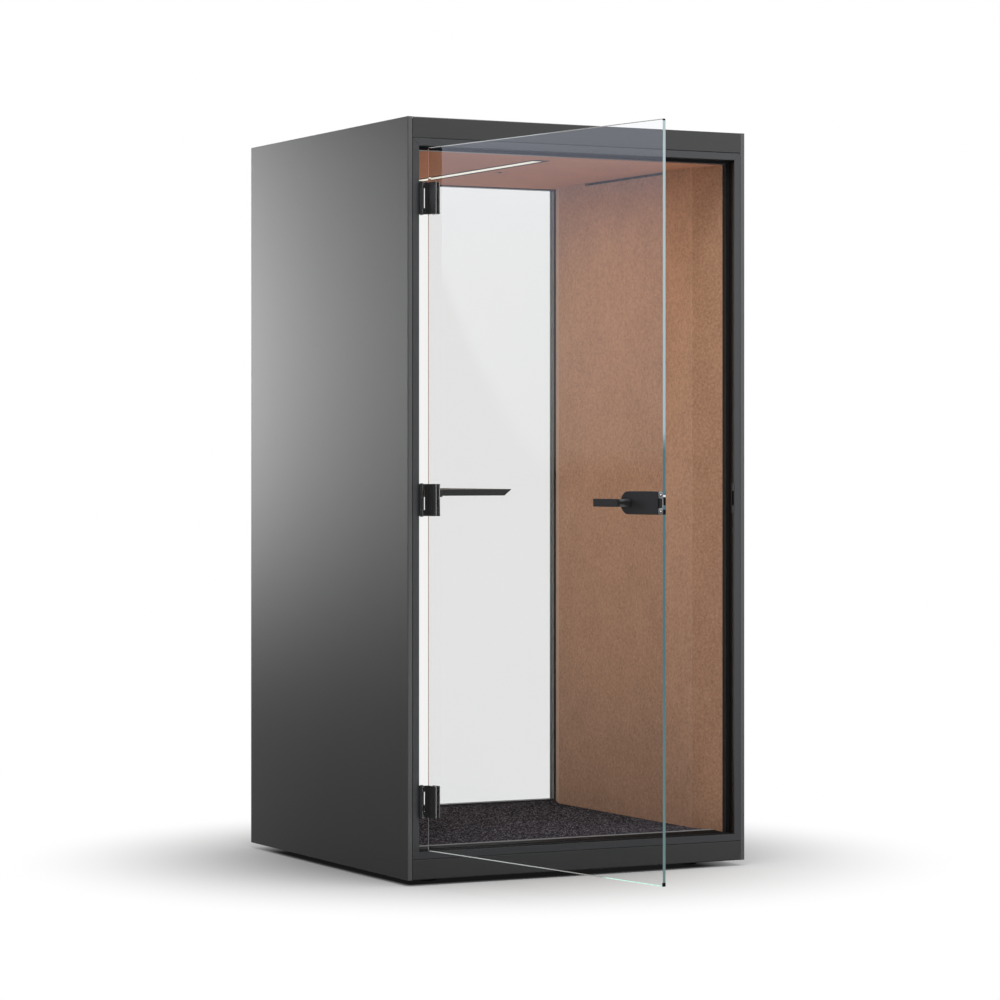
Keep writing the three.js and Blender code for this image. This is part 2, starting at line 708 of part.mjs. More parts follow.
// Door frame: mitred jambs and header on a flat sill, with a seal on the stop
function buildDoorFrame() {
  const jamb = [
    [frameInset, 0], [openingInset, 0], [openingInset, rebateDepth], [stopInset, rebateDepth],
    [stopInset, frameDepth], [frameInset, frameDepth],
  ];
  const hollow = [
    [frameInset + frameWall, frameWall], [openingInset - frameWall, frameWall],
    [openingInset - frameWall, frameDepth - frameWall], [frameInset + frameWall, frameDepth - frameWall],
  ];
  const mitreGap = fit / 2;
  for (const [side, sign] of sides) {
    const section = outline(onSide(sign, jamb));
    section.holes.push(outline(onSide(sign, hollow)));
    let post = shapeEnds(upright(section, openingBottom, frameTop), (v) => v.z > openingTop, (v) => {
      v.z = frameTop - (halfWidth - Math.abs(v.x) - frameInset) - mitreGap;
    });
    if (side === 'right') post = cut(post, strikePocket(halfWidth - openingInset - overlap, 2 * frameWall));
    add(pod, `${side}_jamb`, post, 'frame');
  }

  const header = outline(jamb.map(([inset, depth]) => [depth, frameTop - (inset - frameInset)]));
  header.holes.push(outline(hollow.map(([inset, depth]) => [depth, frameTop - (inset - frameInset)])));
  const headerBar = shapeEnds(alongX(header, -1, 1), () => true, (v) => {
    v.x = Math.sign(v.x) * (halfWidth - frameInset - (frameTop - v.z) - mitreGap);
  });
  add(pod, 'door_header', headerBar, 'frame');

  const sill = rectangle(0, frameDepth, sillBottom, openingBottom);
  sill.holes.push(rectangle(
    frameWall, frameDepth - frameWall, sillBottom + frameWall, openingBottom - frameWall,
  ));
  add(pod, 'door_sill', alongX(sill, -halfWidth + frameInset, halfWidth - frameInset), 'frame');

  const sealOuter = halfWidth - openingInset - (stopReveal - sealWidth) / 2;
  const sealTop = openingTop - (stopReveal - sealWidth) / 2;
  const sealInner = sealOuter - sealWidth;
  const seal = outline([
    [-sealOuter, openingBottom], [-sealInner, openingBottom], [-sealInner, sealTop - sealWidth],
    [sealInner, sealTop - sealWidth], [sealInner, openingBottom], [sealOuter, openingBottom],
    [sealOuter, sealTop], [-sealOuter, sealTop],
  ]);
  add(pod, 'door_seal', alongY(seal, rebateDepth - sealThickness, rebateDepth), 'rubber');

  const jambFace = halfWidth - openingInset;
  const strikeFront = latchFront() - strikeLead;
  const strike = box(
    jambFace - strikeThickness, jambFace, strikeFront, strikeFront + strikeWidth,
    lockHeight - strikeTall / 2, lockHeight + strikeTall / 2,
  );
  const strikeCut = strikePocket(jambFace - 2 * strikeThickness, 3 * strikeThickness);
  add(pod, 'strike_plate', cut(strike, strikeCut), 'blackSatin');
}

// Depth of the latch bolt's outer face when the door is closed
function latchFront() {
  return glassSetback - fit - lockThickness + latchInCase;
}

// The opening that the latch bolt enters, cut sideways from x
function strikePocket(x, length) {
  return box(
    x, x + length + latchThrow, latchFront() - latchPlay, latchFront() + latchThickness + latchPlay,
    lockHeight - strikeOpening / 2, lockHeight + strikeOpening / 2,
  );
}

// Rear wall: posts and rails with a lip, the fixed glass and its bead
function buildRearWall() {
  const rear = podDepth;
  const post = [
    [frameInset, rear], [rearBodyInset, rear], [rearBodyInset, rear - rearLipStart],
    [rearClearInset, rear - rearLipStart], [rearClearInset, rear - rearFrameDepth],
    [frameInset, rear - rearFrameDepth],
  ];
  for (const [side, sign] of sides) {
    add(pod, `rear_${side}_post`, upright(outline(onSide(sign, post)), sillBottom, frameTop), 'frame');
  }
  const lipDrop = rearClearInset - rearBodyInset;
  const rail = (edge, clear, body) => outline([
    [rear, edge], [rear, body], [rear - rearLipStart, body], [rear - rearLipStart, clear],
    [rear - rearFrameDepth, clear], [rear - rearFrameDepth, edge],
  ]);
  const railHalf = halfWidth - rearClearInset - fit;
  const head = rail(frameTop, rearClearTop, rearClearTop + lipDrop);
  const foot = rail(sillBottom, rearClearBottom, rearClearBottom - lipDrop);
  add(pod, 'rear_head_rail', alongX(head, -railHalf, railHalf), 'frame');
  add(pod, 'rear_foot_rail', alongX(foot, -railHalf, railHalf), 'frame');

  const glassHalf = halfWidth - rearClearInset + rearGlassBite;
  const glassInner = rear - rearLipStart + fit;
  const glass = roundedRectangle(
    -glassHalf, glassHalf, rearClearBottom - rearGlassBite, rearClearTop + rearGlassBite, glassCorner,
  );
  add(pod, 'rear_glass', alongY(glass, glassInner, glassInner + rearGlassThickness - fit), 'glass');

  const beadHalf = halfWidth - rearBodyInset - fit;
  const clearHalf = halfWidth - rearClearInset;
  const bead = rectangle(-beadHalf, beadHalf, rearClearBottom - lipDrop + fit, rearClearTop + lipDrop - fit);
  bead.holes.push(rectangle(-clearHalf, clearHalf, rearClearBottom, rearClearTop));
  add(pod, 'rear_glazing_bead', alongY(bead, rear - beadThickness, rear), 'rubber');
}

// Standing desk: a top with an undercut long edge on a gusseted wall angle
function buildDesk() {
  const wall = -halfWidth + wallThickness + fit;
  const edge = wall + deskReach;
  const bottom = deskTopHeight - deskThickness;
  const section = outline([
    [wall, bottom], [edge - deskUndercut, bottom], [edge, deskTopHeight - deskNose],
    [edge, deskTopHeight], [wall, deskTopHeight],
  ]);
  add(pod, 'desk_top', alongY(section, roomFront + deskEndGap, roomRear - deskEndGap), 'desk');

  const [angleFront, angleRear] = [roomFront + bracketEndGap, roomRear - bracketEndGap];
  const angle = outline([
    [wall, bottom - bracketDrop], [wall + bracketThickness, bottom - bracketDrop],
    [wall + bracketThickness, bottom - bracketThickness], [wall + bracketReach, bottom - bracketThickness],
    [wall + bracketReach, bottom], [wall, bottom],
  ]);
  const gusset = outline([
    [wall + overlap, bottom - bracketDrop + overlap], [wall + bracketReach - gussetShort, bottom - overlap],
    [wall + overlap, bottom - overlap],
  ]);
  const gussets = [];
  for (let i = 0; i < bracketGussets; i++) {
    const depth = angleFront + ((i + 0.5) / bracketGussets) * (angleRear - angleFront);
    gussets.push(alongY(gusset, depth - bracketThickness / 2, depth + bracketThickness / 2));
  }
  add(pod, 'desk_bracket', join(alongY(angle, angleFront, angleRear), ...gussets), 'blackSatin');
}

// Door pieces are drawn closed, then the leaf turns about the hinge axis
const hingeAxis = [-halfWidth + hingeAxisInset, -hingeAxisProud];
const doorPivot = new THREE.Group();
doorPivot.position.set(...hingeAxis, 0);
doorPivot.rotation.z = -doorOpenAngle;
pod.add(doorPivot);
const doorLeaf = new THREE.Group();
doorLeaf.position.set(-hingeAxis[0], -hingeAxis[1], 0);
doorPivot.add(doorLeaf);

const glassLeft = -halfWidth + openingInset + glassSideGap;
const glassRight = halfWidth - openingInset - glassSideGap;
const glassInnerFace = glassSetback + glassThickness;
const caseOuter = glassSetback - fit - lockThickness;
const lockRight = glassRight + faceplateProud - faceplateThickness - fit;
const lockRoundX = lockRight - lockLength + lockTall / 2; // centre of the round end
const spindleX = glassRight + faceplateProud - spindleBackset;

function buildDoorGlass() {
  const leaf = roundedRectangle(
    glassLeft, glassRight, openingBottom + glassBottomGap, openingTop - glassTopGap, glassCorner,
  );
  const slab = alongY(leaf, glassSetback, glassInnerFace, glassArris);
  const hole = rodAlongY(
    glassSpindleHole, spindleX, lockHeight, glassSetback - overlap, glassInnerFace + overlap,
  );
  add(doorLeaf, 'door_glass', cut(slab, hole), 'glass');
}

// Hinges: a frame leaf with the middle knuckle, a clamp pair on the glass and a pin
function buildHinges() {
  const [axisX, axisY] = hingeAxis;
  const jambFace = -halfWidth + openingInset + fit;
  hingeHeights.forEach((middle, i) => {
    const name = `${hingeNames[i]}_hinge`;
    const [low, high] = [middle - hingeLength / 2, middle + hingeLength / 2];
    const [innerLow, innerHigh] = [middle - knuckleLength / 2, middle + knuckleLength / 2];
    const bore = rod(pinRadius + fit, axisX, axisY, low - overlap, high + overlap, 16);

    const plate = box(jambFace, jambFace + leafThickness, fit, leafDepth, low, high);
    const web = box(jambFace, jambFace + leafThickness, axisY, leafDepth / 2, innerLow, innerHigh);
    const knuckle = rod(knuckleRadius, axisX, axisY, innerLow, innerHigh);
    add(pod, `${name}_frame_leaf`, cut(join(plate, web, knuckle), bore), 'blackSatin');

    const shankTop = pinHead + fit;
    const pin = [
      [0, low - shankTop], [pinHeadRadius, low - shankTop], [pinHeadRadius, low - fit],
      [pinRadius, low - fit], [pinRadius, high + fit], [pinHeadRadius, high + fit],
      [pinHeadRadius, high + shankTop], [0, high + shankTop],
    ];
    add(pod, `${name}_pin`, turned(pin, axisX, axisY, 16), 'blackSatin');

    const clampFace = glassSetback - fit;
    const clamp = upright(roundedRectangle(
      glassLeft, glassLeft + clampReach, clampFace - clampThickness, clampFace, plateRound,
    ), low, high);
    const ribFront = clampFace - clampRib;
    const rib = box(glassLeft, glassLeft + clampRibWidth, ribFront, clampFace - overlap, low, high);
    const ends = [[low, innerLow - fit], [innerHigh + fit, high]].flatMap(([from, to]) => [
      rod(knuckleRadius, axisX, axisY, from, to),
      box(axisX + clampWebStart, axisX + knuckleRadius, axisY, ribFront + overlap, from, to),
    ]);
    add(doorLeaf, `${name}_outer_clamp`, cut(join(clamp, rib, ...ends), bore), 'blackSatin');

    const inner = upright(roundedRectangle(
      glassLeft + innerPlateStart, glassLeft + innerPlateReach,
      glassInnerFace + fit, glassInnerFace + fit + innerPlateThickness, plateRound,
    ), low, high);
    add(doorLeaf, `${name}_inner_plate`, inner, 'blackSatin');
  });
}

// A plate with a full round end towards the hinges, seen from the front
function roundEnded(right) {
  const shape = new THREE.Shape();
  const radius = lockTall / 2;
  shape.moveTo(right, lockHeight - radius);
  shape.lineTo(right, lockHeight + radius);
  shape.lineTo(lockRoundX, lockHeight + radius);
  shape.absarc(lockRoundX, lockHeight, radius, Math.PI / 2, 1.5 * Math.PI);
  return shape;
}

// Lock: case and latch on the outer face, a plate inside, levers on one spindle
function buildLock() {
  const [latchY0, latchY1] = [latchFront(), latchFront() + latchThickness];
  const [latchZ0, latchZ1] = [lockHeight - latchTall / 2, lockHeight + latchTall / 2];
  const latchTip = glassRight + faceplateProud + latchThrow;
  const latchTail = latchTip - latchLength;
  const latchRoom = box(
    latchTail - latchThrow - fit, glassRight + faceplateProud + overlap,
    latchY0 - fit, latchY1 + fit, latchZ0 - fit, latchZ1 + fit,
  );
  const spindleHole = rodAlongY(
    spindleHoleRadius, spindleX, lockHeight, caseOuter - overlap, glassInnerFace + 2 * innerLockThickness,
  );
  const lockCase = alongY(roundEnded(lockRight), caseOuter, glassSetback - fit, lockBevel, 10);
  add(doorLeaf, 'lock_case', cut(lockCase, latchRoom, spindleHole), 'blackSatin');

  const plateFace = glassInnerFace + fit;
  const innerPlate = alongY(
    roundEnded(glassRight - innerLockEnd), plateFace, plateFace + innerLockThickness, lockBevel, 10,
  );
  add(doorLeaf, 'lock_inner_plate', cut(innerPlate, spindleHole), 'blackSatin');

  const faceplate = alongX(roundedRectangle(
    caseOuter, glassSetback - fit, lockHeight - lockTall / 2, lockHeight + lockTall / 2, faceplateCorner,
  ), lockRight + fit, lockRight + fit + faceplateThickness, 5);
  const boltWindow = box(
    lockRight, lockRight + 2 * faceplateThickness, caseOuter - overlap, latchY1 + fit,
    latchZ0 - fit, latchZ1 + fit,
  );
  add(doorLeaf, 'latch_faceplate', cut(faceplate, boltWindow), 'steel');

  const bolt = outline([
    [latchTail, latchY0], [latchTip, latchY0], [latchTip, latchY0 + latchNose],
    [latchTip - latchSlope, latchY1], [latchTail, latchY1],
  ]);
  add(doorLeaf, 'latch_bolt', upright(bolt, latchZ0, latchZ1), 'blackSatin');

  const plateBack = plateFace + innerLockThickness;
  const spindle = box(
    spindleX - spindleSide / 2, spindleX + spindleSide / 2, caseOuter - spindleGrip,
    plateBack + spindleGrip, lockHeight - spindleSide / 2, lockHeight + spindleSide / 2,
  );
  add(doorLeaf, 'spindle', spindle, 'steel');
  const socket = box(
    spindleX - spindleSide / 2 - fit, spindleX + spindleSide / 2 + fit,
    caseOuter - spindleGrip - fit, plateBack + spindleGrip + fit,
    lockHeight - spindleSide / 2 - fit, lockHeight + spindleSide / 2 + fit,
  );
  const grips = [
    ['outer_lever', caseOuter - fit - leverStandoff, caseOuter - fit, -1],
    ['inner_lever', plateBack + fit, plateBack + fit + leverStandoff, 1],
  ];
  for (const [name, y0, y1, outward] of grips) {
    const barNear = outward < 0 ? y0 - leverThickness : y1;
    const bar = alongY(roundedRectangle(
      spindleX - leverLength, spindleX + leverTall / 2, lockHeight - leverTall / 2,
      lockHeight + leverTall / 2, leverRound,
    ), barNear, barNear + leverThickness, lockBevel);
    const neck = rodAlongY(
      neckRadius, spindleX, lockHeight, y0 - (outward < 0 ? overlap : 0), y1 + (outward > 0 ? overlap : 0),
    );
    add(doorLeaf, name, cut(join(bar, neck), socket), 'blackSatin');
  }
}

buildFloor();
buildWalls();
buildFascias();
buildCeiling();
buildFan();
buildPowerInlet();
buildDoorFrame();
buildRearWall();
buildDesk();
buildDoorGlass();
buildHinges();
buildLock();

export default pod;
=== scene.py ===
import json
import math

import bmesh
import bpy
import numpy as np
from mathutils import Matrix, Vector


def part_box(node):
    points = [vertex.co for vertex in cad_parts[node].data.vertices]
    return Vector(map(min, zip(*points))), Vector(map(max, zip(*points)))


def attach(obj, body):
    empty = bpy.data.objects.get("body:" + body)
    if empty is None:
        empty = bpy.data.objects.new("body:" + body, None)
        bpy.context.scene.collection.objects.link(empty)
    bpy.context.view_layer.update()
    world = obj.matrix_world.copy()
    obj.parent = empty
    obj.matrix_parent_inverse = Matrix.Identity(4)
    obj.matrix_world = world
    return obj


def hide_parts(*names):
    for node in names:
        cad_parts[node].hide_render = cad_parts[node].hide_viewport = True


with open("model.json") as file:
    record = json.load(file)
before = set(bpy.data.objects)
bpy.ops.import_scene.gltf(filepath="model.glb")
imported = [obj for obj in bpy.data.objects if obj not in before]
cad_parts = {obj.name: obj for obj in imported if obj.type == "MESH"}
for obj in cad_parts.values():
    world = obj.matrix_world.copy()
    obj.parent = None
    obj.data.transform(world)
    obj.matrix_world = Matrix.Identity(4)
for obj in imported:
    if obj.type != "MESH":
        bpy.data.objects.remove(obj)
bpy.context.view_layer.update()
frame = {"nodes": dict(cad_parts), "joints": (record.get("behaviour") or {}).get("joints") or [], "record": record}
nodes = frame["nodes"]
joints = {joint["name"]: joint for joint in frame["joints"]}
scene = bpy.context.scene
scene.view_settings.view_transform = "Standard"
print("frame loaded:", len(nodes), "nodes")


# Node trees

class Link:  # one output socket; arithmetic on it adds Math nodes to its tree
    def __init__(self, look, socket):
        self.look = look
        self.socket = socket

    def math(self, operation, *values):
        return self.look.node("ShaderNodeMath", {"operation": operation}, dict(enumerate(values)))

    def __add__(self, other):
        return self.math("ADD", self, other)

    def __radd__(self, other):
        return self.math("ADD", other, self)

    def __sub__(self, other):
        return self.math("SUBTRACT", self, other)

    def __rsub__(self, other):
        return self.math("SUBTRACT", other, self)

    def __mul__(self, other):
        return self.math("MULTIPLY", self, other)

    def __rmul__(self, other):
        return self.math("MULTIPLY", other, self)

    def __pow__(self, other):
        return self.math("POWER", self, other)

    def __rpow__(self, other):
        return self.math("POWER", other, self)

    def __abs__(self):
        return self.math("ABSOLUTE", self)

    def __gt__(self, other):
        return self.math("GREATER_THAN", self, other)

    def __lt__(self, other):
        return self.math("LESS_THAN", self, other)

    def larger(self, other):  # the larger of the two
        return self.math("MAXIMUM", self, other)


class Look:  # builds the node tree of one material, or of the world
    def __init__(self, owner):
        owner.use_nodes = True
        self.tree = owner.node_tree
        self.tree.nodes.clear()

    def node(self, kind, settings=None, sockets=None, output=0):
        made = self.tree.nodes.new(kind)
        for name, value in (settings or {}).items():
            if name == "stops":
                fillRamp(made.color_ramp, value)
            else:
                setattr(made, name, value)
        for name, value in (sockets or {}).items():
            if isinstance(value, Link):
                self.tree.links.new(value.socket, made.inputs[name])
            else:
                made.inputs[name].default_value = value
        return Link(self, made.outputs[output]) if made.outputs else None

    def place(self):  # object coordinates, in metres
        return self.node("ShaderNodeTexCoord", output="Object")

    def axis(self, letter):
        return self.node("ShaderNodeSeparateXYZ", {}, {0: self.place()}, letter)

    def noise(self, scale, detail, vector=None):
        sockets = {"Vector": vector or self.place(), "Scale": scale, "Detail": detail}
        return self.node("ShaderNodeTexNoise", {}, sockets)

    def drawnNoise(self, scale, detail):  # noise with its own scale along each axis
        stretched = self.node("ShaderNodeMapping", {}, {"Vector": self.place(), "Scale": scale})
        return self.noise(1.0, detail, stretched)

    def cells(self, scale, output=0):
        return self.node("ShaderNodeTexVoronoi", {}, {"Vector": self.place(), "Scale": scale}, output)

    def ramp(self, factor, stops):
        return self.node("ShaderNodeValToRGB", {"stops": stops}, {0: factor})

    def rise(self, value, start, end):  # 0 before start, 1 after end, smooth between
        sockets = {0: value, 1: start, 2: end}
        return self.node("ShaderNodeMapRange", {"interpolation_type": "SMOOTHSTEP"}, sockets)

    def blend(self, factor, first, second, mode="MIX"):  # of two colours
        settings = {"data_type": "RGBA", "blend_type": mode}
        return self.node("ShaderNodeMix", settings, {0: factor, 6: first, 7: second}, 2)

    def bump(self, height, distance, strength=1.0):
        sockets = {"Height": height, "Distance": distance, "Strength": strength}
        return self.node("ShaderNodeBump", {}, sockets)

    def ray(self, kind):  # 1 for one kind of ray, such as Is Camera Ray
        return self.node("ShaderNodeLightPath", output=kind)

    def principled(self, sockets):
        return self.node("ShaderNodeBsdfPrincipled", {}, sockets)

    def glow(self, colour, strength):
        return self.node("ShaderNodeEmission", {}, {"Color": colour, "Strength": strength})

    def mixed(self, factor, first, second):  # of two shaders
        return self.node("ShaderNodeMixShader", {}, {0: factor, 1: first, 2: second})

    def show(self, shader, kind="ShaderNodeOutputMaterial"):
        self.node(kind, {}, {"Surface": shader})


def fillRamp(ramp, stops):
    while len(ramp.elements) < len(stops):
        ramp.elements.new(1.0)
    for element, (position, colour) in zip(ramp.elements, stops):
        element.position = position
        element.color = rgba(colour)


def rgba(colour, factor=1.0):
    return (*[channel * factor for channel in colour], 1.0)


def grey(value):
    return (value, value, value)


def newMaterial(name):
    material = bpy.data.materials.new(name)
    return material, Look(material)


# Finishes. Each dictionary holds what a user would change.

noiseMean = 0.5
coat = {"cloud": 3.0, "low": 0.94, "high": 1.06}


def coatedMetal(name, colour, roughness, peel, bands=(), gloss=1.5):
    # powder coat: a faint cloud in the colour, orange peel in the bump and gloss;
    # each band has its own tone between two places along an axis
    material, look = newMaterial(name)
    cloud = look.noise(coat["cloud"], detail=3.0)
    peelNoise = look.noise(peel["scale"], detail=3.0)
    tone = look.blend(cloud, rgba(colour, coat["low"]), rgba(colour, coat["high"]))
    rough = roughness + (peelNoise - noiseMean) * peel["gloss"]
    # bands also paint highlights and shade, as noted where they are set
    for band in bands:
        place = look.axis(band.get("axis", "Y"))
        inside = (place > band["from"]) * (place < band["to"])
        tone = look.blend(inside, tone, rgba(band["colour"]))
        if "rougher" in band:
            rough = rough + inside * band["rougher"]
    look.show(look.principled({
        "Base Color": tone, "IOR": gloss, "Roughness": rough,
        "Normal": look.bump(peelNoise, peel["depth"]),
    }))
    return material


panelPaint = {"colour": (0.036, 0.0365, 0.0375), "roughness": 0.40,
              "peel": {"scale": 700.0, "depth": 0.00001, "gloss": 0.06}}
# painted highlight: a lighter band on the front edge of each side panel, where it catches the light
panelEdgeHighlight = {"from": -0.1, "to": -0.0405, "colour": (0.082, 0.083, 0.084)}
framePaint = {"colour": (0.0415, 0.0432, 0.0466), "roughness": 0.36,
              "peel": {"scale": 900.0, "depth": 0.00001, "gloss": 0.06}}
# painted shade on the jambs: the reveal is darkened, and the rebate deeper in is near black; that deepest band
# also stands for the black seal
jambRevealShade = [{"from": -0.0412, "to": -0.0121, "colour": (0.013, 0.0108, 0.0095)},
             {"from": -0.0121, "to": 0.02, "colour": (0.003, 0.0025, 0.0025), "rougher": 0.6}]
blackPaint = {"colour": (0.023, 0.0233, 0.0245), "roughness": 0.34,
              "peel": {"scale": 1100.0, "depth": 0.000008, "gloss": 0.08}}
# painted reflection: a near-white band on the end of the latch bolt
boltEndReflection = {"axis": "X", "from": -0.3450, "to": -0.33, "colour": grey(0.78)}
hingePaint = {"colour": (0.022, 0.022, 0.0225), "roughness": 0.2, "gloss": 2.3,
              "peel": {"scale": 1100.0, "depth": 0.000008, "gloss": 0.08}}
thresholdPaint = {"colour": (0.006, 0.006, 0.0062), "roughness": 0.5, "gloss": 1.1,
                  "peel": {"scale": 900.0, "depth": 0.00002, "gloss": 0.10},
                  # painted highlight: a light band along the rear edge of the threshold
                  "bands": [{"from": 0.043, "to": 0.1, "colour": (0.17, 0.175, 0.18)}]}
beadPaint = {"colour": (0.012, 0.012, 0.013), "roughness": 0.65, "gloss": 1.06,
             "peel": {"scale": 900.0, "depth": 0.00003, "gloss": 0.10},
             "bands": [{"axis": "X", "from": start, "to": end, "colour": (0.42, 0.45, 0.455)}
                       for start, end in ((0.52, 0.5298), (-0.5298, -0.52))]}

wallWool = {"dark": (0.255, 0.122, 0.062), "light": (0.51, 0.280, 0.166),
            "splayShade": {"fold": 0.1253, "tint": (0.925, 0.94, 0.975)}}  # painted shade on the splayed ends beside the door
ceilingWool = {"dark": (0.297, 0.106, 0.0385), "light": (0.57, 0.228, 0.096), "gloss": 1.12}
felt = {"clump": 110.0, "broad": 9.0, "fibre": (650.0, 227.5, 325.0),
        "clumpShare": 0.45, "fibreShare": 0.4, "broadShare": 0.15, "darkAt": 0.32, "lightAt": 0.68,
        "roughness": 0.95, "sheen": 0.12, "sheenRoughness": 0.6,
        "fibreRelief": 0.6, "clumpRelief": 0.4, "depth": 0.0006, "relief": 0.6}


def feltFinish(name, dark, light, gloss=1.5, splayShade=None):
    # pressed fibre: clumps of lighter and darker wool under a net of fine fibres
    material, look = newMaterial(name)
    clumps = look.noise(felt["clump"], detail=4.0)
    broad = look.noise(felt["broad"], detail=2.0)
    fibres = look.drawnNoise(felt["fibre"], detail=4.0)
    mottle = clumps * felt["clumpShare"] + fibres * felt["fibreShare"] + broad * felt["broadShare"]
    tone = look.ramp(mottle, [(felt["darkAt"], dark), (felt["lightAt"], light)])
    if splayShade:  # painted shade: darker in front of the fold, on the splayed ends, whose turned faces get less light
        tone = look.blend(look.axis("Y") < splayShade["fold"], tone, rgba(splayShade["tint"]), "MULTIPLY")
    height = fibres * felt["fibreRelief"] + clumps * felt["clumpRelief"]
    look.show(look.principled({
        "Base Color": tone, "Roughness": felt["roughness"], "IOR": gloss,
        "Sheen Weight": felt["sheen"], "Sheen Roughness": felt["sheenRoughness"],
        "Normal": look.bump(height, felt["depth"], felt["relief"]),
    }))
    return material


carpet = {"dark": (0.008, 0.0072, 0.0088), "middle": (0.030, 0.0272, 0.0315),
          "light": (0.20, 0.19, 0.225), "darkAt": 0.15, "middleAt": 0.6, "lightAt": 0.95,
          "fleck": 260.0, "fleckShare": 0.8, "yarn": 1500.0, "yarnShare": 0.2, "yarnDepth": 0.0005,
          "roughness": 0.95, "gloss": 1.02}


def carpetFinish():
    # loop pile: each loop has its own shade, with a few pale flecks
    material, look = newMaterial("loopCarpet")
    shade = look.node("ShaderNodeSeparateColor", {}, {0: look.cells(carpet["fleck"], "Color")}, 0)
    yarn = look.noise(carpet["yarn"], detail=3.0)
    stops = [(carpet[f"{tone}At"], carpet[tone]) for tone in ("dark", "middle", "light")]
    tone = look.ramp(shade * carpet["fleckShare"] + yarn * carpet["yarnShare"], stops)
    look.show(look.principled({
        "Base Color": tone, "Roughness": carpet["roughness"], "IOR": carpet["gloss"],
        "Normal": look.bump(yarn, carpet["yarnDepth"]),
    }))
    return material


rubber = {"dark": (0.008, 0.008, 0.009), "light": (0.016, 0.016, 0.017), "grain": 900.0, "detail": 3.0,
          "roughness": 0.62, "rougher": 0.16, "gloss": 1.06, "depth": 0.00003}
plastic = {"dark": (0.010, 0.010, 0.011), "light": (0.017, 0.017, 0.018), "grain": 1600.0, "detail": 2.0,
           "roughness": 0.48, "rougher": 0.14, "gloss": 1.5, "depth": 0.00005}


def mouldedFinish(name, dark, light, grain, detail, roughness, rougher, gloss, depth):
    # moulded rubber or plastic with the fine grain of its mould
    material, look = newMaterial(name)
    pits = look.noise(grain, detail)
    look.show(look.principled({
        "Base Color": look.blend(pits, rgba(dark), rgba(light)), "IOR": gloss,
        "Roughness": roughness + pits * rougher, "Normal": look.bump(pits, depth),
    }))
    return material


brushing = {"scale": (2500.0, 2500.0, 18.0), "low": 0.88, "high": 1.08, "streaks": 0.18,
            "depth": 0.00001}
steels = {"brushedSteel": {"colour": (0.33, 0.33, 0.335), "roughness": 0.30},
          "brightSteel": {"colour": (0.72, 0.72, 0.73), "roughness": 0.28},
          "satinNickel": {"colour": (0.25, 0.25, 0.255), "roughness": 0.32}}


def brushedFinish(name):
    # brushed metal: noise drawn out along the height
    material, look = newMaterial(name)
    colour, roughness = steels[name]["colour"], steels[name]["roughness"]
    strokes = look.drawnNoise(brushing["scale"], detail=3.0)
    tone = look.blend(strokes, rgba(colour, brushing["low"]), rgba(colour, brushing["high"]))
    look.show(look.principled({
        "Base Color": tone, "Metallic": 1.0,
        "Roughness": roughness + (strokes - noiseMean) * brushing["streaks"],
        "Normal": look.bump(strokes, brushing["depth"]),
    }))
    return material


plywood = {"dark": (0.22, 0.125, 0.055), "light": (0.42, 0.27, 0.135)}
# painted shade: a near-black copy of the plywood for the plinth, which stands in the shade under the pod
plinthShadePly = {"dark": (0.004, 0.004, 0.004), "light": (0.010, 0.0095, 0.009)}
veneer = {"grain": (6.0, 90.0, 90.0), "grainShare": 0.7, "darkAt": 0.25, "lightAt": 0.75,
          "plies": {"Scale": 90.0, "Distortion": 0.6, "Detail": 1.0}, "plyShare": 0.3,
          "roughness": 0.7, "rougher": 0.15, "depth": 0.0002}


def plywoodFinish(name, dark, light):
    # peeled veneer: grain drawn along X, and the plies as bands through the height
    material, look = newMaterial(name)
    grain = look.drawnNoise(veneer["grain"], detail=5.0)
    waves = {"Vector": look.place(), **veneer["plies"]}
    plies = look.node("ShaderNodeTexWave", {"bands_direction": "Z"}, waves, "Fac")
    tone = look.ramp(grain * veneer["grainShare"] + plies * veneer["plyShare"],
                     [(veneer["darkAt"], dark), (veneer["lightAt"], light)])
    look.show(look.principled({
        "Base Color": tone, "Roughness": veneer["roughness"] + grain * veneer["rougher"],
        "Normal": look.bump(grain, veneer["depth"]),
    }))
    return material


wallCore = {"dark": (0.10, 0.09, 0.075), "light": (0.24, 0.22, 0.19), "strands": (240.0, 60.0, 60.0),
            "darkAt": 0.3, "lightAt": 0.7, "roughness": 0.98, "depth": 0.002}


def coreFinish():
    # mineral fibre board: strands drawn along the wall
    material, look = newMaterial("mineralFibre")
    strands = look.drawnNoise(wallCore["strands"], detail=5.0)
    stops = [(wallCore["darkAt"], wallCore["dark"]), (wallCore["lightAt"], wallCore["light"])]
    look.show(look.principled({
        "Base Color": look.ramp(strands, stops), "Roughness": wallCore["roughness"],
        "Normal": look.bump(strands, wallCore["depth"]),
    }))
    return material


desk = {"dark": (0.17, 0.171, 0.173), "light": (0.22, 0.221, 0.223), "edge": (0.052, 0.0525, 0.053),
        "grain": 900.0, "cloud": 14.0, "grainShare": 0.5, "cloudShare": 0.5, "laminate": 0.0006,
        "roughness": 0.7, "rougher": 0.1, "gloss": 1.02, "depth": 0.00004}


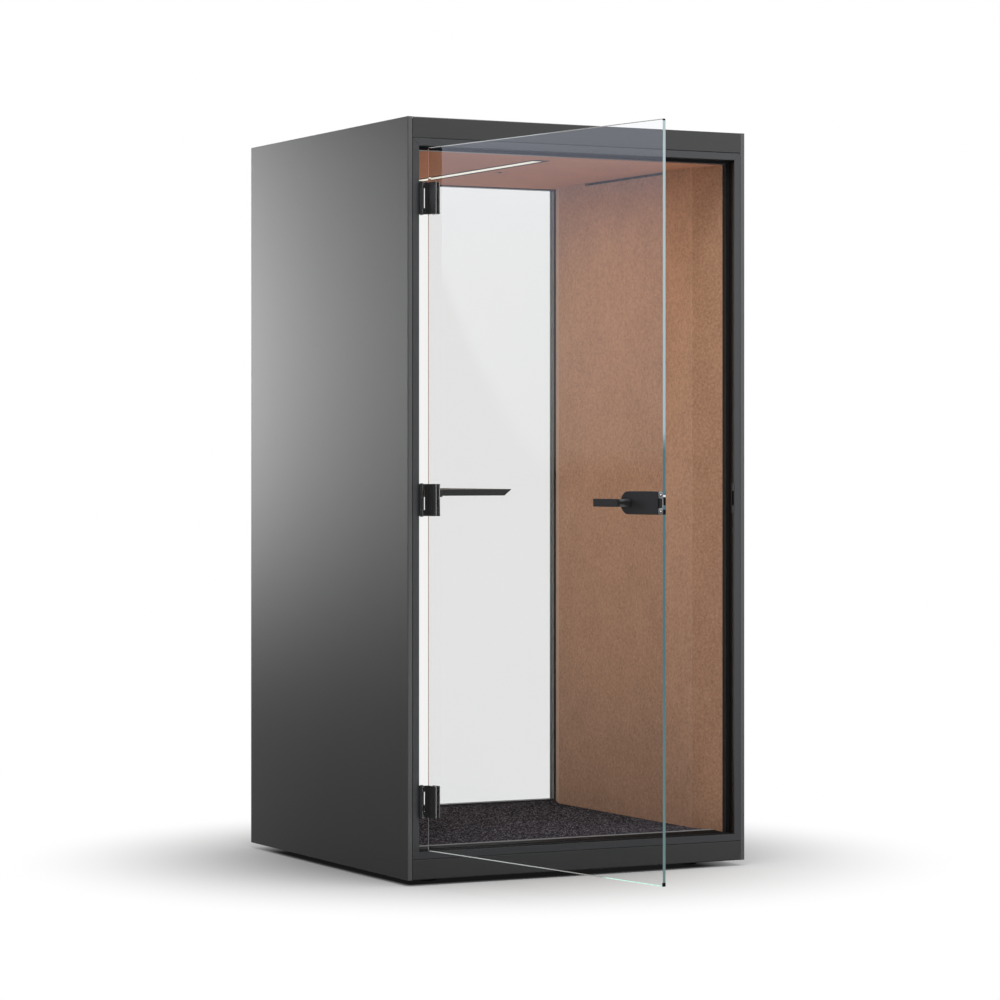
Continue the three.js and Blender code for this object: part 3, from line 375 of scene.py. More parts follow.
def deskFinish():
    # dark laminate with a fine leathery grain; painted light: the top face is lighter than the sides, for the
    # light that falls on it from above
    material, look = newMaterial("deskLaminate")
    grain = look.cells(desk["grain"])
    cloud = look.noise(desk["cloud"], detail=3.0)
    # painted light: only the top face gets the lighter laminate tone, the sides the darker edge colour
    top = look.axis("Z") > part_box("desk_top")[1].z - desk["laminate"]
    shade = grain * desk["grainShare"] + cloud * desk["cloudShare"]
    tone = look.blend(shade, rgba(desk["dark"]), rgba(desk["light"]))
    look.show(look.principled({
        "Base Color": look.blend(top, rgba(desk["edge"]), tone), "IOR": desk["gloss"],
        "Roughness": desk["roughness"] + grain * desk["rougher"],
        "Normal": look.bump(grain, desk["depth"]),
    }))
    return material


lamp = {"colour": (1.0, 0.95, 0.79), "glow": 0.66, "body": (0.22, 0.215, 0.20), "roughness": 0.5,
        "endGlow": 0.8, "endPower": 12}


def diffuserFinish():
    # opal strip: even glow, a little weaker towards its ends
    material, look = newMaterial("opalDiffuser")
    low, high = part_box("light_diffuser")
    middle = (low.y + high.y) / 2
    reach = (high.y - low.y) / 2
    away = abs((look.axis("Y") - middle) * (1 / reach))
    glow = look.blend(away ** lamp["endPower"], rgba(lamp["colour"]),
                      rgba(lamp["colour"], lamp["endGlow"]))
    look.show(look.principled({
        "Base Color": rgba(lamp["body"]), "Roughness": lamp["roughness"],
        "Emission Color": glow, "Emission Strength": lamp["glow"],
    }))
    return material


pane = {"rear": (0.915, 0.922, 0.918), "door": (0.92, 0.925, 0.925), "bend": 1.01, "gloss": 1.5,
        "haze": 2.0, "hazeShade": 0.99, "shadowShade": 0.95}


def glassFinish(name, tint):
    # clear float glass, too thin to shift what is behind it: the body hardly bends light and
    # the coat gives the reflection; lamps shine through it
    material, look = newMaterial(name)
    haze = look.noise(pane["haze"], detail=2.0)
    backs = look.node("ShaderNodeNewGeometry", output="Backfacing")
    body = look.principled({
        "Base Color": look.blend(haze, rgba(tint, pane["hazeShade"]), rgba(tint)), "Roughness": 0.0,
        "IOR": pane["bend"], "Transmission Weight": 1.0,
        "Coat Weight": 1 - backs, "Coat Roughness": 0.0, "Coat IOR": pane["gloss"],
    })
    clear = look.node("ShaderNodeBsdfTransparent", {}, {"Color": rgba(tint, pane["shadowShade"])})
    sheet = look.mixed(look.ray("Is Diffuse Ray"), body, clear)
    look.show(look.mixed(look.ray("Is Shadow Ray"), sheet, clear))
    return material


edgeTone = {"foot": (0.18, 0.275, 0.27), "low": (0.084, 0.198, 0.236), "lit": (0.418, 0.567, 0.65),
            "top": (0.49, 0.60, 0.62), "footAt": 0.02, "lowAt": 0.30, "turn": 1.32, "soft": 0.012,
            "polish": 400.0, "waver": 0.02, "roughness": 0.3, "rougher": 0.05, "gloss": 0.1}


def glassEdgeFinish():
    # polished free edge of the door glass: sea green below, pale where it catches the light, a painted reflection
    material, look = newMaterial("glassEdge")
    low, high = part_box("door_glass")
    height = high.z - low.z
    turn = (edgeTone["turn"] - low.z) / height
    polish = look.noise(edgeTone["polish"], detail=2.0)
    rise = (look.axis("Z") - low.z) * (1 / height) + (polish - noiseMean) * edgeTone["waver"]
    tone = look.ramp(rise, [
        (edgeTone["footAt"], edgeTone["foot"]), (edgeTone["lowAt"], edgeTone["low"]),
        (turn - edgeTone["soft"], edgeTone["low"]), (turn + edgeTone["soft"], edgeTone["lit"]),
        (1.0, edgeTone["top"]),
    ])
    look.show(look.principled({
        "Base Color": tone, "Roughness": edgeTone["roughness"] + polish * edgeTone["rougher"],
        "Specular IOR Level": edgeTone["gloss"],
    }))
    return material


rimTone = {"colour": (0.33, 0.365, 0.355), "glow": 0.08, "free": (0.50, 0.82, 0.72), "freeGlow": 0.5,
           "turn": -0.86, "turnWaver": 0.1, "below": 1.0, "hinge": (0.42, 0.20, 0.13), "low": grey(0.24),
           "foot": 0.26, "footWaver": 0.02, "polish": 300.0, "roughness": 0.25}


def glassRimFinish():
    # arris along the top and foot of the leaf, painted to glow with the light gathered inside the glass,
    # most of all at the foot near the free edge
    material, look = newMaterial("glassRim")
    polish = look.noise(rimTone["polish"], detail=2.0)
    along = look.axis("Y") + (polish - noiseMean) * rimTone["turnWaver"]
    nearEdge = (along < rimTone["turn"]) * (look.axis("Z") < rimTone["below"])
    tone = look.blend(nearEdge, rgba(rimTone["colour"]), rgba(rimTone["free"]))
    glow = look.blend(nearEdge, rgba(rimTone["colour"], rimTone["glow"]),
                      rgba(rimTone["free"], rimTone["freeGlow"]))
    look.show(look.principled({
        "Base Color": tone, "Roughness": rimTone["roughness"],
        "Emission Color": glow, "Emission Strength": 1.0,
    }))
    return material


def hingeRimFinish():
    # arris on the hinge side, with a painted reflection: felt coloured, and pale only near the floor, where it
    # shows the light
    material, look = newMaterial("glassHingeRim")
    polish = look.noise(rimTone["polish"], detail=2.0)
    height = look.axis("Z") + (polish - noiseMean) * rimTone["footWaver"]
    tone = look.blend(height < rimTone["foot"], rgba(rimTone["hinge"]), rgba(rimTone["low"]))
    look.show(look.principled({"Base Color": tone, "Roughness": rimTone["roughness"]}))
    return material


finishes = {
    "anthracite": coatedMetal("anthraciteCoat", **panelPaint),
    "frame": coatedMetal("frameCoat", **framePaint),
    "rubber": mouldedFinish("softRubber", **rubber),
    "felt": feltFinish("wallFelt", **wallWool),
    "core": coreFinish(),
    "plywood": plywoodFinish("plywood", **plywood),
    "carpet": carpetFinish(),
    "aluminium": coatedMetal("darkAnodised", **thresholdPaint),
    "black_satin": coatedMetal("blackCoat", **blackPaint),
    "steel": brushedFinish("brushedSteel"),
    "glass": glassFinish("doorGlass", pane["door"]),
    "diffuser": diffuserFinish(),
    "desk": deskFinish(),
    "plastic": mouldedFinish("mouldedPlastic", **plastic),
}
brightSteel = brushedFinish("brightSteel")
# side panels: coat with the painted edge highlight
panelCoat = coatedMetal("panelCoat", **panelPaint, bands=[panelEdgeHighlight])
jambCoat = coatedMetal("jambCoat", **framePaint, bands=jambRevealShade)
hingeCoat = coatedMetal("hingeCoat", **hingePaint)
ownFinishes = {  # nodes with a finish other than their slot's
    "left_outer_panel": panelCoat,
    "right_outer_panel": panelCoat,
    "left_jamb": jambCoat,
    "right_jamb": jambCoat,
    "ceiling_felt": feltFinish("ceilingFelt", **ceilingWool),
    "rear_glass": glassFinish("rearGlass", pane["rear"]),
    "rear_glazing_bead": coatedMetal("glazingBead", **beadPaint),
    "latch_bolt": coatedMetal("boltCoat", **blackPaint, bands=[boltEndReflection]),
    "base_plinth": plywoodFinish("plinthShadePlywood", **plinthShadePly),
    "latch_faceplate": brushedFinish("satinNickel"),
    **{name: hingeCoat for name in nodes if "_hinge_" in name},
}
for row in frame["record"]["subparts"]:
    mesh = nodes[row["node"]].data
    mesh.materials.clear()
    mesh.materials.append(ownFinishes.get(row["node"], finishes[row["material_slot"]]))


# Broken edges on the CAD pieces: flats are merged, then each hard edge gets a small round

edgeRounds = {"outer_lever": 0.0009, "inner_lever": 0.0009, "lock_case": 0.0006,
              "lock_inner_plate": 0.0006, "desk_top": 0.0006, "threshold_strip": 0.0005,
              "latch_faceplate": 0.0003, "strike_plate": 0.0003, "left_jamb": 0.0005,
              "right_jamb": 0.0005, "door_sill": 0.0005, "door_header": 0.0005}
rounding = {"hinge": 0.0007, "merge": 0.00001, "segments": 2,
            "flat": 0.5, "hard": 35.0}  # angles in degrees
for name in nodes:
    if name.endswith(("_hinge_outer_clamp", "_hinge_inner_plate")):
        edgeRounds[name] = rounding["hinge"]


def roundEdges(obj, width):
    weld = obj.modifiers.new("merge", "WELD")
    weld.merge_threshold = rounding["merge"]
    flats = obj.modifiers.new("flats", "DECIMATE")
    flats.decimate_type = "DISSOLVE"
    flats.angle_limit = math.radians(rounding["flat"])
    bevel = obj.modifiers.new("round", "BEVEL")
    bevel.width = width
    bevel.segments = rounding["segments"]
    bevel.limit_method = "ANGLE"
    bevel.angle_limit = math.radians(rounding["hard"])


for name, width in edgeRounds.items():
    roundEdges(nodes[name], width)
print("rounded edges on", len(edgeRounds), "nodes")


# Surfaces from numpy

tiny = 1e-7
xAxis, yAxis, zAxis = (1, 0, 0), (0, 1, 0), (0, 0, 1)


def gridFaces(rows, columns, closed):
    # quads of a rows by columns grid; closed joins the last column to the first
    across = columns if closed else columns - 1
    r, c = np.meshgrid(np.arange(rows - 1), np.arange(across), indexing="ij")
    here = r * columns + c
    beside = r * columns + (c + 1) % columns
    return np.stack([here, beside, beside + columns, here + columns], -1).reshape(-1, 4)


def joinParts(parts):
    # several (points, faces) pairs as one
    points, faces, start = [], [], 0
    for partPoints, partFaces in parts:
        points.append(partPoints)
        faces.append(partFaces + start)
        start += len(partPoints)
    return np.concatenate(points), np.concatenate(faces)


def nodePoints(name):
    mesh = nodes[name].data
    points = np.empty(len(mesh.vertices) * 3)
    mesh.vertices.foreach_get("co", points)
    return points.reshape(-1, 3)


def makePiece(name, points, faces, body, material, smooth=True):
    mesh = bpy.data.meshes.new(name)
    mesh.from_pydata(points.tolist(), [], faces.tolist())
    work = bmesh.new()
    work.from_mesh(mesh)
    bmesh.ops.remove_doubles(work, verts=work.verts, dist=tiny)
    bmesh.ops.recalc_face_normals(work, faces=work.faces)
    work.to_mesh(mesh)
    work.free()
    mesh.polygons.foreach_set("use_smooth", np.full(len(mesh.polygons), smooth))
    mesh.materials.append(material)
    obj = bpy.data.objects.new(name, mesh)
    scene.collection.objects.link(obj)
    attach(obj, body)
    return obj


# The door's own frame: the leaf as it is when closed

swing = joints["door_swing"]
hingeLine = np.array(swing["pos_m"][:2])
openAngle = math.radians(swing["range_deg"][1])


def turnAboutHinge(points, angle):
    cosine, sine = math.cos(angle), math.sin(angle)
    flat = points[..., :2] - hingeLine
    turned = np.stack([flat[..., 0] * cosine - flat[..., 1] * sine,
                       flat[..., 0] * sine + flat[..., 1] * cosine], -1)
    return np.concatenate([turned + hingeLine, points[..., 2:]], -1)


def asHung(points):  # closed door to the door as it stands open
    return turnAboutHinge(points, -openAngle)


def closedBox(name):
    shut = turnAboutHinge(nodePoints(name), openAngle)
    return shut.min(0), shut.max(0)


# Turned pieces: ring k has radius r_k and height h_k along the axis; where s_k is 1 the ring is
# six-sided, by wide * r cos(30) / cos(angle mod 60 - 30)

screw = {"head": 0.0030, "proud": 0.0008, "recess": 0.0013, "deep": 0.0007, "round": 0.0004,
         "bevel": 0.3, "wide": 1.12, "sides": 24}
rimmedScrew = {"rim": 0.0066, "groove": 0.0052, "sunk": 0.0006, "slope": 0.7, "floor": 0.16,
               "head": 0.0028, "proud": 0.0008, "crown": 0.6, "crownHeight": 0.95, "shoulder": 0.7}
nearlyUpright = 0.9


def turnedParts(centre, axis, radius, height, socket):
    angle = np.linspace(0, 2 * math.pi, screw["sides"], endpoint=False)
    sector = math.pi / 3
    sixSided = math.cos(sector / 2) / np.cos((angle % sector) - sector / 2) * screw["wide"]
    ring = np.array(radius)[:, None] * np.where(np.array(socket)[:, None] > 0, sixSided[None, :], 1.0)
    axis = np.array(axis, float)
    side = np.cross(axis, zAxis if abs(axis[2]) < nearlyUpright else xAxis)
    side = side / np.linalg.norm(side)
    other = np.cross(axis, side)
    points = (np.array(centre) + ring[..., None] * np.cos(angle)[None, :, None] * side
              + ring[..., None] * np.sin(angle)[None, :, None] * other
              + np.array(height)[:, None, None] * axis)
    return points.reshape(-1, 3), gridFaces(len(radius), len(angle), True)


def screwParts(centre, axis, size=1.0):  # domed head with a six-sided recess
    head, proud, recess = screw["head"] * size, screw["proud"] * size, screw["recess"] * size
    deep, soft = screw["deep"] * size, screw["round"] * size
    bevel = soft * screw["bevel"]
    radius = [0, recess, recess, head - soft, head - bevel, head, head, 0]
    height = [proud - deep, proud - deep, proud, proud, proud - bevel, proud - soft, -soft, -soft]
    return turnedParts(centre, axis, radius, height, [1, 1, 1, 0, 0, 0, 0, 0])


def rimParts(centre, axis):  # raised ring
    rim, groove, sunk = rimmedScrew["rim"], rimmedScrew["groove"], rimmedScrew["sunk"]
    radius = [groove, groove, rim, rim, groove]
    height = [-sunk, sunk, sunk * rimmedScrew["slope"], -sunk, -sunk]
    return turnedParts(centre, axis, radius, height, [0] * 5)


def ringShadeParts(centre, axis):  # painted shade: dark disc on the floor of the ring
    radius, height = rimmedScrew["groove"], rimmedScrew["proud"] * rimmedScrew["floor"]
    return turnedParts(centre, axis, [0, radius, radius, 0], [height, height, -height, -height], [0] * 4)


def domeParts(centre, axis):  # small head in the middle
    head, proud = rimmedScrew["head"], rimmedScrew["proud"]
    radius = [0, head * rimmedScrew["crown"], head, head, 0]
    height = [proud, proud * rimmedScrew["crownHeight"], proud * rimmedScrew["shoulder"], -proud, -proud]
    return turnedParts(centre, axis, radius, height, [0] * 5)


def makeTurned(name, parts, body, slot, hung=False, material=None):
    points, faces = joinParts(parts)
    points = asHung(points) if hung else points
    return makePiece(name, points, faces, body, material or finishes[slot], smooth=False)


def makeScrews(name, places, body, slot, size=1.0, hung=False):
    parts = [screwParts(centre, axis, size) for centre, axis in places]
    return makeTurned(name, parts, body, slot, hung)


screwInset = {"hingePlate": 0.018, "lockPlate": 0.020, "lockPlateFar": 0.068, "faceplate": 0.0091,
              "strike": 0.009, "bracket": 0.05, "bracketPlate": 0.004, "bracketRise": 0.02,
              "roof": 0.045, "inlet": 0.0035}
screwSize = {"strike": 0.8, "bracket": 1.3, "roof": 1.6, "inlet": 0.7}
screwsInRow = 4


def doorScrews():
    plates = []
    for name in ("lower", "middle", "upper"):
        low, high = closedBox(f"{name}_hinge_inner_plate")
        across = (low[0] + high[0]) / 2
        for height in (low[2] + screwInset["hingePlate"], high[2] - screwInset["hingePlate"]):
            plates.append(((across, high[1], height), yAxis))
    low, high = closedBox("lock_inner_plate")
    for across in (high[0] - screwInset["lockPlate"], low[0] + screwInset["lockPlateFar"]):
        plates.append(((across, high[1], (low[2] + high[2]) / 2), yAxis))
    makeScrews("door_plate_screws", plates, "door", "black_satin", hung=True)
    low, high = closedBox("latch_faceplate")
    ends = (low[2] + screwInset["faceplate"], high[2] - screwInset["faceplate"])
    edge = [((high[0], (low[1] + high[1]) / 2, height), xAxis) for height in ends]
    heads = [domeParts(*place) for place in edge]
    rings = [rimParts(*place) for place in edge]
    ringShades = [ringShadeParts(*place) for place in edge]
    makeTurned("faceplate_screws", heads, "door", "steel", True, brightSteel)
    makeTurned("faceplate_screw_rings", rings, "door", "steel", True)
    makeTurned("faceplate_screw_ring_shades", ringShades, "door", "rubber", True)


def shellScrews():
    low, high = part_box("strike_plate")
    ends = (low.z + screwInset["strike"], high.z - screwInset["strike"])
    strike = [((low.x, (low.y + high.y) / 2, height), (-1, 0, 0)) for height in ends]
    makeScrews("strike_screws", strike, "shell", "black_satin", screwSize["strike"])
    low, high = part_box("desk_bracket")
    face, height = low.x + screwInset["bracketPlate"], low.z + screwInset["bracketRise"]
    along = np.linspace(low.y + screwInset["bracket"], high.y - screwInset["bracket"], screwsInRow)
    wall = [((face, depth, height), xAxis) for depth in along]
    makeScrews("bracket_screws", wall, "shell", "black_satin", screwSize["bracket"])
    low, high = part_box("roof_panel")
    inset = screwInset["roof"]
    across = np.linspace(low.x + inset, high.x - inset, screwsInRow)
    roof = [((x, y, high.z), zAxis) for x in across for y in (low.y + inset, high.y - inset)]
    makeScrews("roof_screws", roof, "shell", "steel", screwSize["roof"])
    low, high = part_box("power_inlet")
    middle = (low.z + high.z) / 2
    sides = (low.x + screwInset["inlet"], high.x - screwInset["inlet"])
    inlet = [((x, high.y, middle), yAxis) for x in sides]
    makeScrews("inlet_screws", inlet, "shell", "steel", screwSize["inlet"])


doorScrews()
shellScrews()
print("screws made")


# Carpet: the top of the pile is a field of loops, h = height * sqrt(|sin(pi x / loop) sin(pi y / loop)|)
# with every other row shifted by half a loop, made uneven by two crossed, bent waves, over the
# outline that the CAD carpet has

pile = {"loop": 0.0046, "height": 0.0022, "rows": 290, "columns": 300, "mean": 0.75, "sway": 0.25,
        "acrossWave": 311.0, "acrossBend": 5.0, "acrossBendWave": 97.0,
        "depthWave": 277.0, "depthBend": 4.0, "depthBendWave": 83.0}
sameDepth = 1e-4


def outlineHalfWidth(depth):
    # half width of the CAD carpet's plan at each depth, from its corner points
    points = nodePoints("floor_carpet")
    depths = np.unique(points[:, 1].round(5))
    halfWidths = [points[np.abs(points[:, 1] - corner) < sameDepth, 0].max() for corner in depths]
    return np.interp(depth, depths, halfWidths)


def loopHeight(x, y):
    # share of the pile's height at each point
    row = np.floor(y / pile["loop"])
    across = np.abs(np.sin(math.pi * (x / pile["loop"] + 0.5 * (row % 2))))
    loops = across * np.abs(np.sin(math.pi * y / pile["loop"]))
    acrossWave = np.sin(x * pile["acrossWave"] + pile["acrossBend"] * np.sin(y * pile["acrossBendWave"]))
    depthWave = np.sin(y * pile["depthWave"] + pile["depthBend"] * np.sin(x * pile["depthBendWave"]))
    return np.sqrt(loops) * (pile["mean"] + pile["sway"] * acrossWave * depthWave)


def makeCarpet():
    low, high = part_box("floor_carpet")
    rows, columns = pile["rows"], pile["columns"]
    v = np.linspace(low.y, high.y, rows)
    u = np.linspace(-1, 1, columns)
    x = outlineHalfWidth(v)[:, None] * u[None, :]
    y = np.repeat(v[:, None], columns, 1)
    top = np.stack([x, y, high.z - pile["height"] * (1 - loopHeight(x, y))], -1)
    parts = [(top.reshape(-1, 3), gridFaces(rows, columns, False))]
    feet = []
    for edge in (top[0], top[-1], top[:, 0], top[:, -1]):
        foot = np.concatenate([edge[:, :2], np.full((len(edge), 1), low.z)], -1)
        parts.append((np.concatenate([edge, foot]), gridFaces(2, len(edge), False)))
        feet.append(foot)
    floor = np.array([feet[0][0], feet[0][-1], feet[1][-1], feet[1][0]])
    parts.append((floor, np.array([[0, 1, 2, 3]])))
    points, faces = joinParts(parts)
    carpetPile = makePiece("carpet_pile", points, faces, "shell", finishes["carpet"])
    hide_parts("floor_carpet")


makeCarpet()
print("carpet made")


# Bars of a rounded section between two points: the section is a superellipse
# (w cos(t)|cos(t)|^(q-1), h sin(t)|sin(t)|^(q-1)), carried from end to end and closed at both

bar = {"sides": 24, "squareness": 0.3}


def barParts(start, end, across, up, width, height):
    t = np.linspace(0, 2 * math.pi, bar["sides"], endpoint=False)
    c, d = np.cos(t), np.sin(t)
    wide = width / 2 * np.sign(c) * np.abs(c) ** bar["squareness"]
    tall = height / 2 * np.sign(d) * np.abs(d) ** bar["squareness"]
    section = wide[:, None] * np.array(across, float) + tall[:, None] * np.array(up, float)
    start, end = np.array(start, float), np.array(end, float)
    rings = np.stack([start + section * 0, start + section, end + section, end + section * 0])
    return rings.reshape(-1, 3), gridFaces(4, bar["sides"], True)


def standingBar(x, y, bottom, top, width, depth):
    return (x, y, bottom), (x, y, top), xAxis, yAxis, width, depth


def makeBars(name, bars, body, material, hung=False):
    points, faces = joinParts([barParts(*item) for item in bars])
    return makePiece(name, asHung(points) if hung else points, faces, body, material, smooth=False)


# Edges of the door glass, the covers on its lock, and the buffers at its free corners

leafEdge = {"proud": 0.0003, "edgeLess": 0.0006, "rim": 0.0011, "hingeRim": 0.0015, "rimEnd": 0.003}
lockEdge = {"proud": 0.0008, "covers": [(-0.006, 0.014), (-0.031, -0.018)], "pin": (0.017, 0.022)}
buffers = {"inset": 0.001, "foot": 0.010, "footWide": 0.0036, "footGrip": 0.0004,
           "top": 0.004, "topWide": 0.003, "topLess": 0.0016}


def makeGlassEdges():
    low, high = closedBox("door_glass")
    middle = (low[1] + high[1]) / 2
    thick = high[1] - low[1]
    proud, rim, hinge, end = (leafEdge[key] for key in ("proud", "rim", "hingeRim", "rimEnd"))
    bottom, top = low[2] + buffers["foot"], high[2] - buffers["top"]
    free = [standingBar(high[0], middle, bottom, top, 2 * proud, thick - leafEdge["edgeLess"])]
    makeBars("door_glass_edge", free, "door", glassEdgeFinish(), True)
    rims = [((low[0] + end, middle, z), (high[0] - end, middle, z), yAxis, zAxis, thick + 2 * proud, rim)
            for z in (low[2] + rim / 2 - proud, high[2] - rim / 2 + proud)]
    makeBars("door_glass_rims", rims, "door", glassRimFinish(), True)
    side = [standingBar(low[0] + hinge / 2, low[1] + hinge / 2 - proud, low[2] + end, high[2] - end,
                        hinge, hinge)]
    makeBars("door_glass_hinge_rim", side, "door", hingeRimFinish(), True)
    lockLow, lockHigh = closedBox("lock_case")
    centre = (lockLow[2] + lockHigh[2]) / 2
    lockX, lockWide = high[0] + proud, 2 * lockEdge["proud"]
    covers = [standingBar(lockX, middle, centre + start, centre + stop, lockWide, thick + 2 * proud)
              for start, stop in lockEdge["covers"]]
    makeBars("lock_edge_cover", covers, "door", finishes["rubber"], True)
    # painted highlight: a short bright steel bar on the free edge, set there for the glint above the lock
    start, stop = lockEdge["pin"]
    pin = [standingBar(lockX, middle, centre + start, centre + stop, lockWide, thick)]
    makeBars("lock_edge_pin", pin, "door", brightSteel, True)
    corner = high[0] - buffers["inset"]
    ends = [standingBar(corner, middle, low[2] - proud, bottom,
                        buffers["footWide"], thick + buffers["footGrip"]),
            standingBar(corner, middle, top, high[2] + proud,
                        buffers["topWide"], thick - buffers["topLess"])]
    makeBars("door_corner_buffers", ends, "door", finishes["rubber"], True)


# Dark strip on top of the sill, under the closed door

sillStrip = {"front": 0.004, "back": 0.001, "jamb": 0.012, "end": 0.0005, "proud": 0.0016}


def makeSillStrip():
    low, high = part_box("door_sill")
    front, back = low.y + sillStrip["front"], high.y - sillStrip["back"]
    middle = (front + back) / 2
    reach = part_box("right_jamb")[0].x + sillStrip["jamb"] - sillStrip["end"]
    strip = [((-reach, middle, high.z), (reach, middle, high.z), yAxis, zAxis,
              back - front, 2 * sillStrip["proud"])]
    makeBars("sill_strip", strip, "shell", finishes["rubber"])


# Painted shade: thin black sheets round the light in the ceiling, for the shadow along its sides

lightShadeSizes = {"side": 0.011, "end": 0.004, "thick": 0.0004}


def makeLightShade():
    low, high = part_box("light_channel")
    stripLow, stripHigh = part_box("light_diffuser")
    thick = lightShadeSizes["thick"]
    z = low.z - thick / 2
    front, back = low.y - lightShadeSizes["end"], high.y + lightShadeSizes["end"]
    bars = []
    for inner, outer in ((stripLow.x, low.x - lightShadeSizes["side"]), (stripHigh.x, high.x + lightShadeSizes["side"])):
        x = (inner + outer) / 2
        bars.append(((x, front, z), (x, back, z), xAxis, zAxis, abs(outer - inner), thick))
    for inner, outer in ((stripLow.y, front), (stripHigh.y, back)):
        y = (inner + outer) / 2
        bars.append(((stripLow.x, y, z), (stripHigh.x, y, z), yAxis, zAxis, abs(outer - inner), thick))
    makeBars("light_shade_sheets", bars, "shell", finishes["rubber"])


makeGlassEdges()
makeSillStrip()
makeLightShade()
print("glass edges, sill strip and light trim made")


# Stage: pale floor, white surroundings, soft studio light

stage = {"floorSize": 60.0, "floorColour": grey(0.43), "ambient": 0.61, "glossy": 0.05,
         "background": 1.0}
fade = {"centre": (-0.038, 0.529), "start": 0.42, "end": 1.53}  # the floor turns white away from the pod
paintedFloorShadow = {"tone": 0.008, "left": (-0.010, 0.030), "right": (-0.140, 0.020),  # painted shadow: the dark floor under the pod, measured from the sides of its footprint
           "front": (-0.010, 0.050), "back": (-0.198, 0.012)}  # measured from the sides of its footprint


def makeSheet(name, corners, material):
    mesh = bpy.data.meshes.new(name)
    mesh.from_pydata(np.array(corners).tolist(), [], [[0, 1, 2, 3]])
    mesh.materials.append(material)
    sheet = bpy.data.objects.new(name, mesh)
    scene.collection.objects.link(sheet)
    return sheet


def makeFloor():
    half = stage["floorSize"] / 2
    corners = [(-half, -half, 0), (half, -half, 0), (half, half, 0), (-half, half, 0)]
    material, look = newMaterial("studioFloor")
    x, y = look.axis("X"), look.axis("Y")
    low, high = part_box("left_outer_panel")[0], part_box("right_outer_panel")[1]
    sides = {"left": (x, low.x), "right": (x, high.x), "front": (y, low.y), "back": (y, high.y)}
    past = {}  # 0 before each side of the footprint, 1 after it
    for side, (place, line) in sides.items():
        start, end = paintedFloorShadow[side]
        past[side] = look.rise(place, line + start, line + end)
    # painted shadow under the pod's footprint
    under = past["left"] * (1 - past["right"]) * past["front"] * (1 - past["back"])
    across, along = x - fade["centre"][0], y - fade["centre"][1]
    distance = (across * across + along * along) ** 0.5
    away = look.rise(distance, fade["start"], fade["end"]) * (1 - under)
    pale = look.node("ShaderNodeBsdfDiffuse", {}, {"Color": rgba(stage["floorColour"])})
    shaded = look.mixed(under, pale, look.glow(rgba(grey(1)), paintedFloorShadow["tone"]))
    look.show(look.mixed(away, shaded, look.glow(rgba(grey(1)), stage["background"])))
    floor = makeSheet("studio_floor", corners, material)
    floor.visible_glossy = False


def makeWorld():
    world = bpy.data.worlds.new("studio")
    scene.world = world
    look = Look(world)
    seen = look.ray("Is Camera Ray").larger(look.ray("Is Transmission Ray"))
    mirror = look.ray("Is Glossy Ray")
    unseen = (1 - mirror) * stage["ambient"] + mirror * stage["glossy"]
    strength = (1 - seen) * unseen + seen * stage["background"]
    back = look.node("ShaderNodeBackground", {}, {"Color": rgba(grey(1)), "Strength": strength})
    look.show(back, "ShaderNodeOutputWorld")


def areaLight(name, place, target, size, power, colour=(1, 1, 1)):
    data = bpy.data.lights.new(name, "AREA")
    data.shape = "RECTANGLE"
    data.size, data.size_y = size
    data.energy = power
    data.color = colour
    lightObject = bpy.data.objects.new(name, data)
    lightObject.location = place
    lightObject.rotation_euler = facingAngles(np.array(target) - np.array(place))
    lightObject.visible_camera = False
    lightObject.visible_transmission = False
    scene.collection.objects.link(lightObject)
    return lightObject


def facingAngles(towards):  # turn of a lamp that shines this way
    flat = math.hypot(towards[0], towards[1])
    pitch = math.atan2(flat, -towards[2])
    yaw = math.atan2(-towards[0], towards[1]) if flat > tiny else 0.0
    return (pitch, 0.0, yaw)


def softbox(name, centre, facing, size, stops, strength, foot=None):
    # a glowing sheet that only shiny surfaces see; its glow runs up its height by the stops,
    # and foot gives a soft lower edge that climbs towards one side
    across = np.array([-facing[1], facing[0], 0.0]) / math.hypot(*facing)
    half = across * size[0] / 2
    rise = np.array([0, 0, size[1] / 2])
    centre = np.array(centre)
    corners = [centre - half - rise, centre + half - rise, centre + half + rise, centre - half + rise]
    material, look = newMaterial(name)
    height = (look.axis("Z") - (centre[2] - size[1] / 2)) * (1 / size[1])
    glow = look.ramp(height, stops)
    if foot:
        side = ((look.axis("X") - centre[0]) * (1 / across[0])).larger(0.0)
        edge = foot["start"] + foot["rise"] * side + foot["curve"] * side * side
        above = (look.axis("Z") - edge) * (1 / foot["soft"])
        shown = look.node("ShaderNodeMath", {"operation": "ADD", "use_clamp": True}, {0: above, 1: 0.5})
        glow = look.blend(shown, rgba(grey(0)), glow)
    look.show(look.glow(glow, strength))
    sheet = makeSheet(name, corners, material)
    for ray in ("camera", "diffuse", "transmission", "shadow"):
        setattr(sheet, f"visible_{ray}", False)


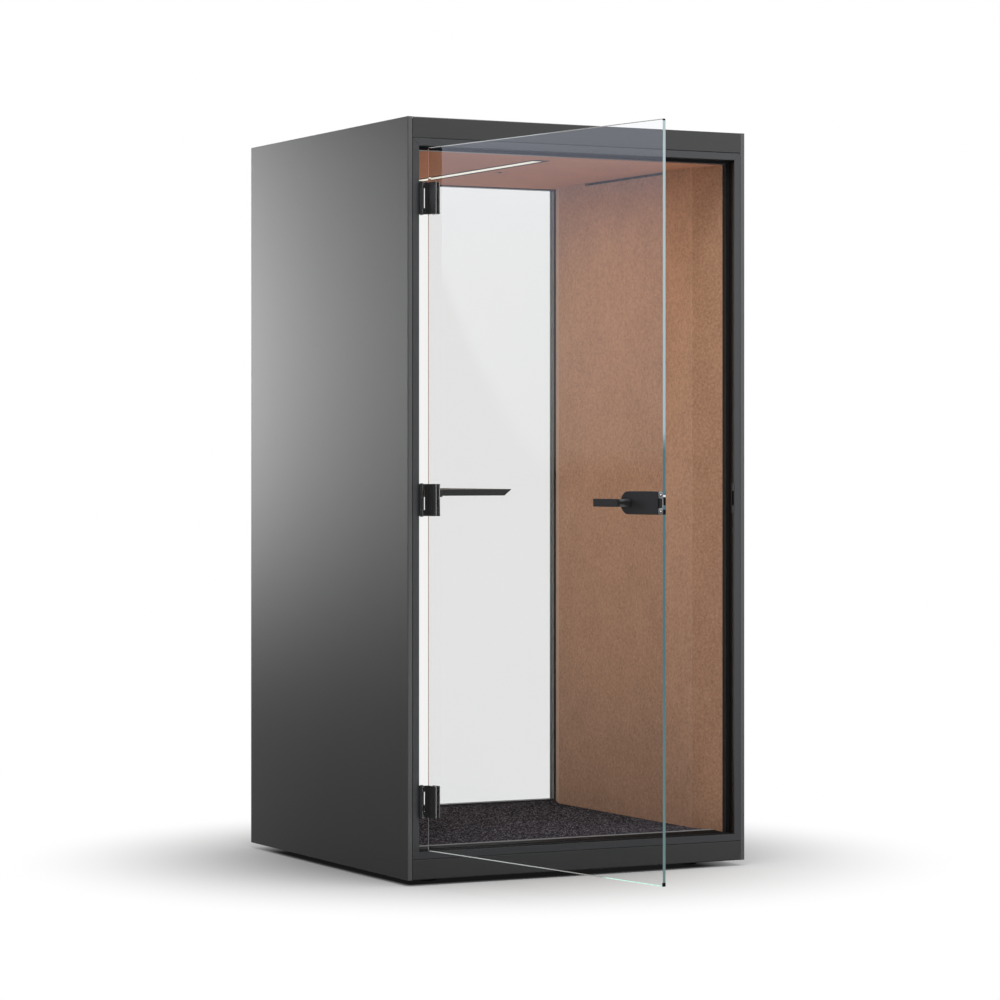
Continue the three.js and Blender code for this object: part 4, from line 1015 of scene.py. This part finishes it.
lights = {"top": {"place": (-0.1, -0.95, 5.2), "target": (0, 0.2, 0), "size": (3.2, 2.0),
                  "power": 195.0},
          "fill": {"place": (-0.12, 0.7, 0.94), "target": (0.5, 0.7, 0.94), "size": (0.7, 1.4),
                   "power": 2.3, "colour": (1.0, 0.94, 0.85)}}
cabinLight = {"power": 4.8, "colour": (1.0, 0.93, 0.77)}
cabinDrop = 0.002  # lamp below the diffuser
sheets = {
    "side_sheet": {
        "centre": (-0.75, 3.4, 0.925), "facing": (-0.15, -1.0), "size": (1.7, 3.65), "strength": 8.6,
        "stops": [(0.0, grey(0.055)), (0.33, grey(0.066)), (0.416, grey(0.24)), (0.504, grey(0.57)),
                  (0.592, grey(0.86)), (0.726, grey(0.98)), (1.0, grey(0.58))]},
    "door_sheet": {
        "centre": (-4.6, 3.2, 2.25), "facing": (0.74, -0.67), "size": (4.6, 2.3), "strength": 2.2,
        "stops": [(0.1, grey(0.2)), (0.25, (0.28, 0.28, 0.32)), (0.42, (0.33, 0.33, 0.37)),
                  (0.57, (0.43, 0.43, 0.54)), (0.70, (0.75, 0.81, 0.98))],
        "foot": {"start": 1.265, "rise": 1.05, "curve": 1.9, "soft": 0.12}},
    "front_sheet": {
        "centre": (6.5, -7.0, 1.25), "facing": (-0.6, 0.8), "size": (6.2, 5.5), "strength": 2.0,
        "stops": [(0.0, grey(0.3)), (0.2, grey(0.42)), (0.42, grey(0.62)), (0.71, grey(1))]},
}


def makeLights():
    areaLight("top", **lights["top"])
    areaLight("fill", **lights["fill"]).visible_glossy = False
    low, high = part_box("light_diffuser")
    x, y = (low.x + high.x) / 2, (low.y + high.y) / 2
    size = (high.x - low.x, high.y - low.y)
    cabin = areaLight("cabin", (x, y, low.z - cabinDrop), (x, y, 0), size, **cabinLight)
    cabin.visible_glossy = False
    for name, sheet in sheets.items():
        softbox(name, **sheet)


makeFloor()
makeWorld()
makeLights()
print("stage and lights made")


# Camera: level, two-point perspective, at the photograph's place

view = {"place": (-5.0549, -9.2091, 1.2554), "turn": -27.53, "lens": 123.757, "sensor": 36.0,
        "shiftDown": -0.0365, "far": 200.0}


def makeCamera():
    data = bpy.data.cameras.new("camera")
    data.lens = view["lens"]
    data.sensor_width = view["sensor"]
    data.shift_y = view["shiftDown"]
    data.clip_end = view["far"]
    camera = bpy.data.objects.new("camera", data)
    camera.location = view["place"]
    camera.rotation_euler = (math.pi / 2, 0.0, math.radians(view["turn"]))
    scene.collection.objects.link(camera)
    scene.camera = camera


makeCamera()
print("camera set")
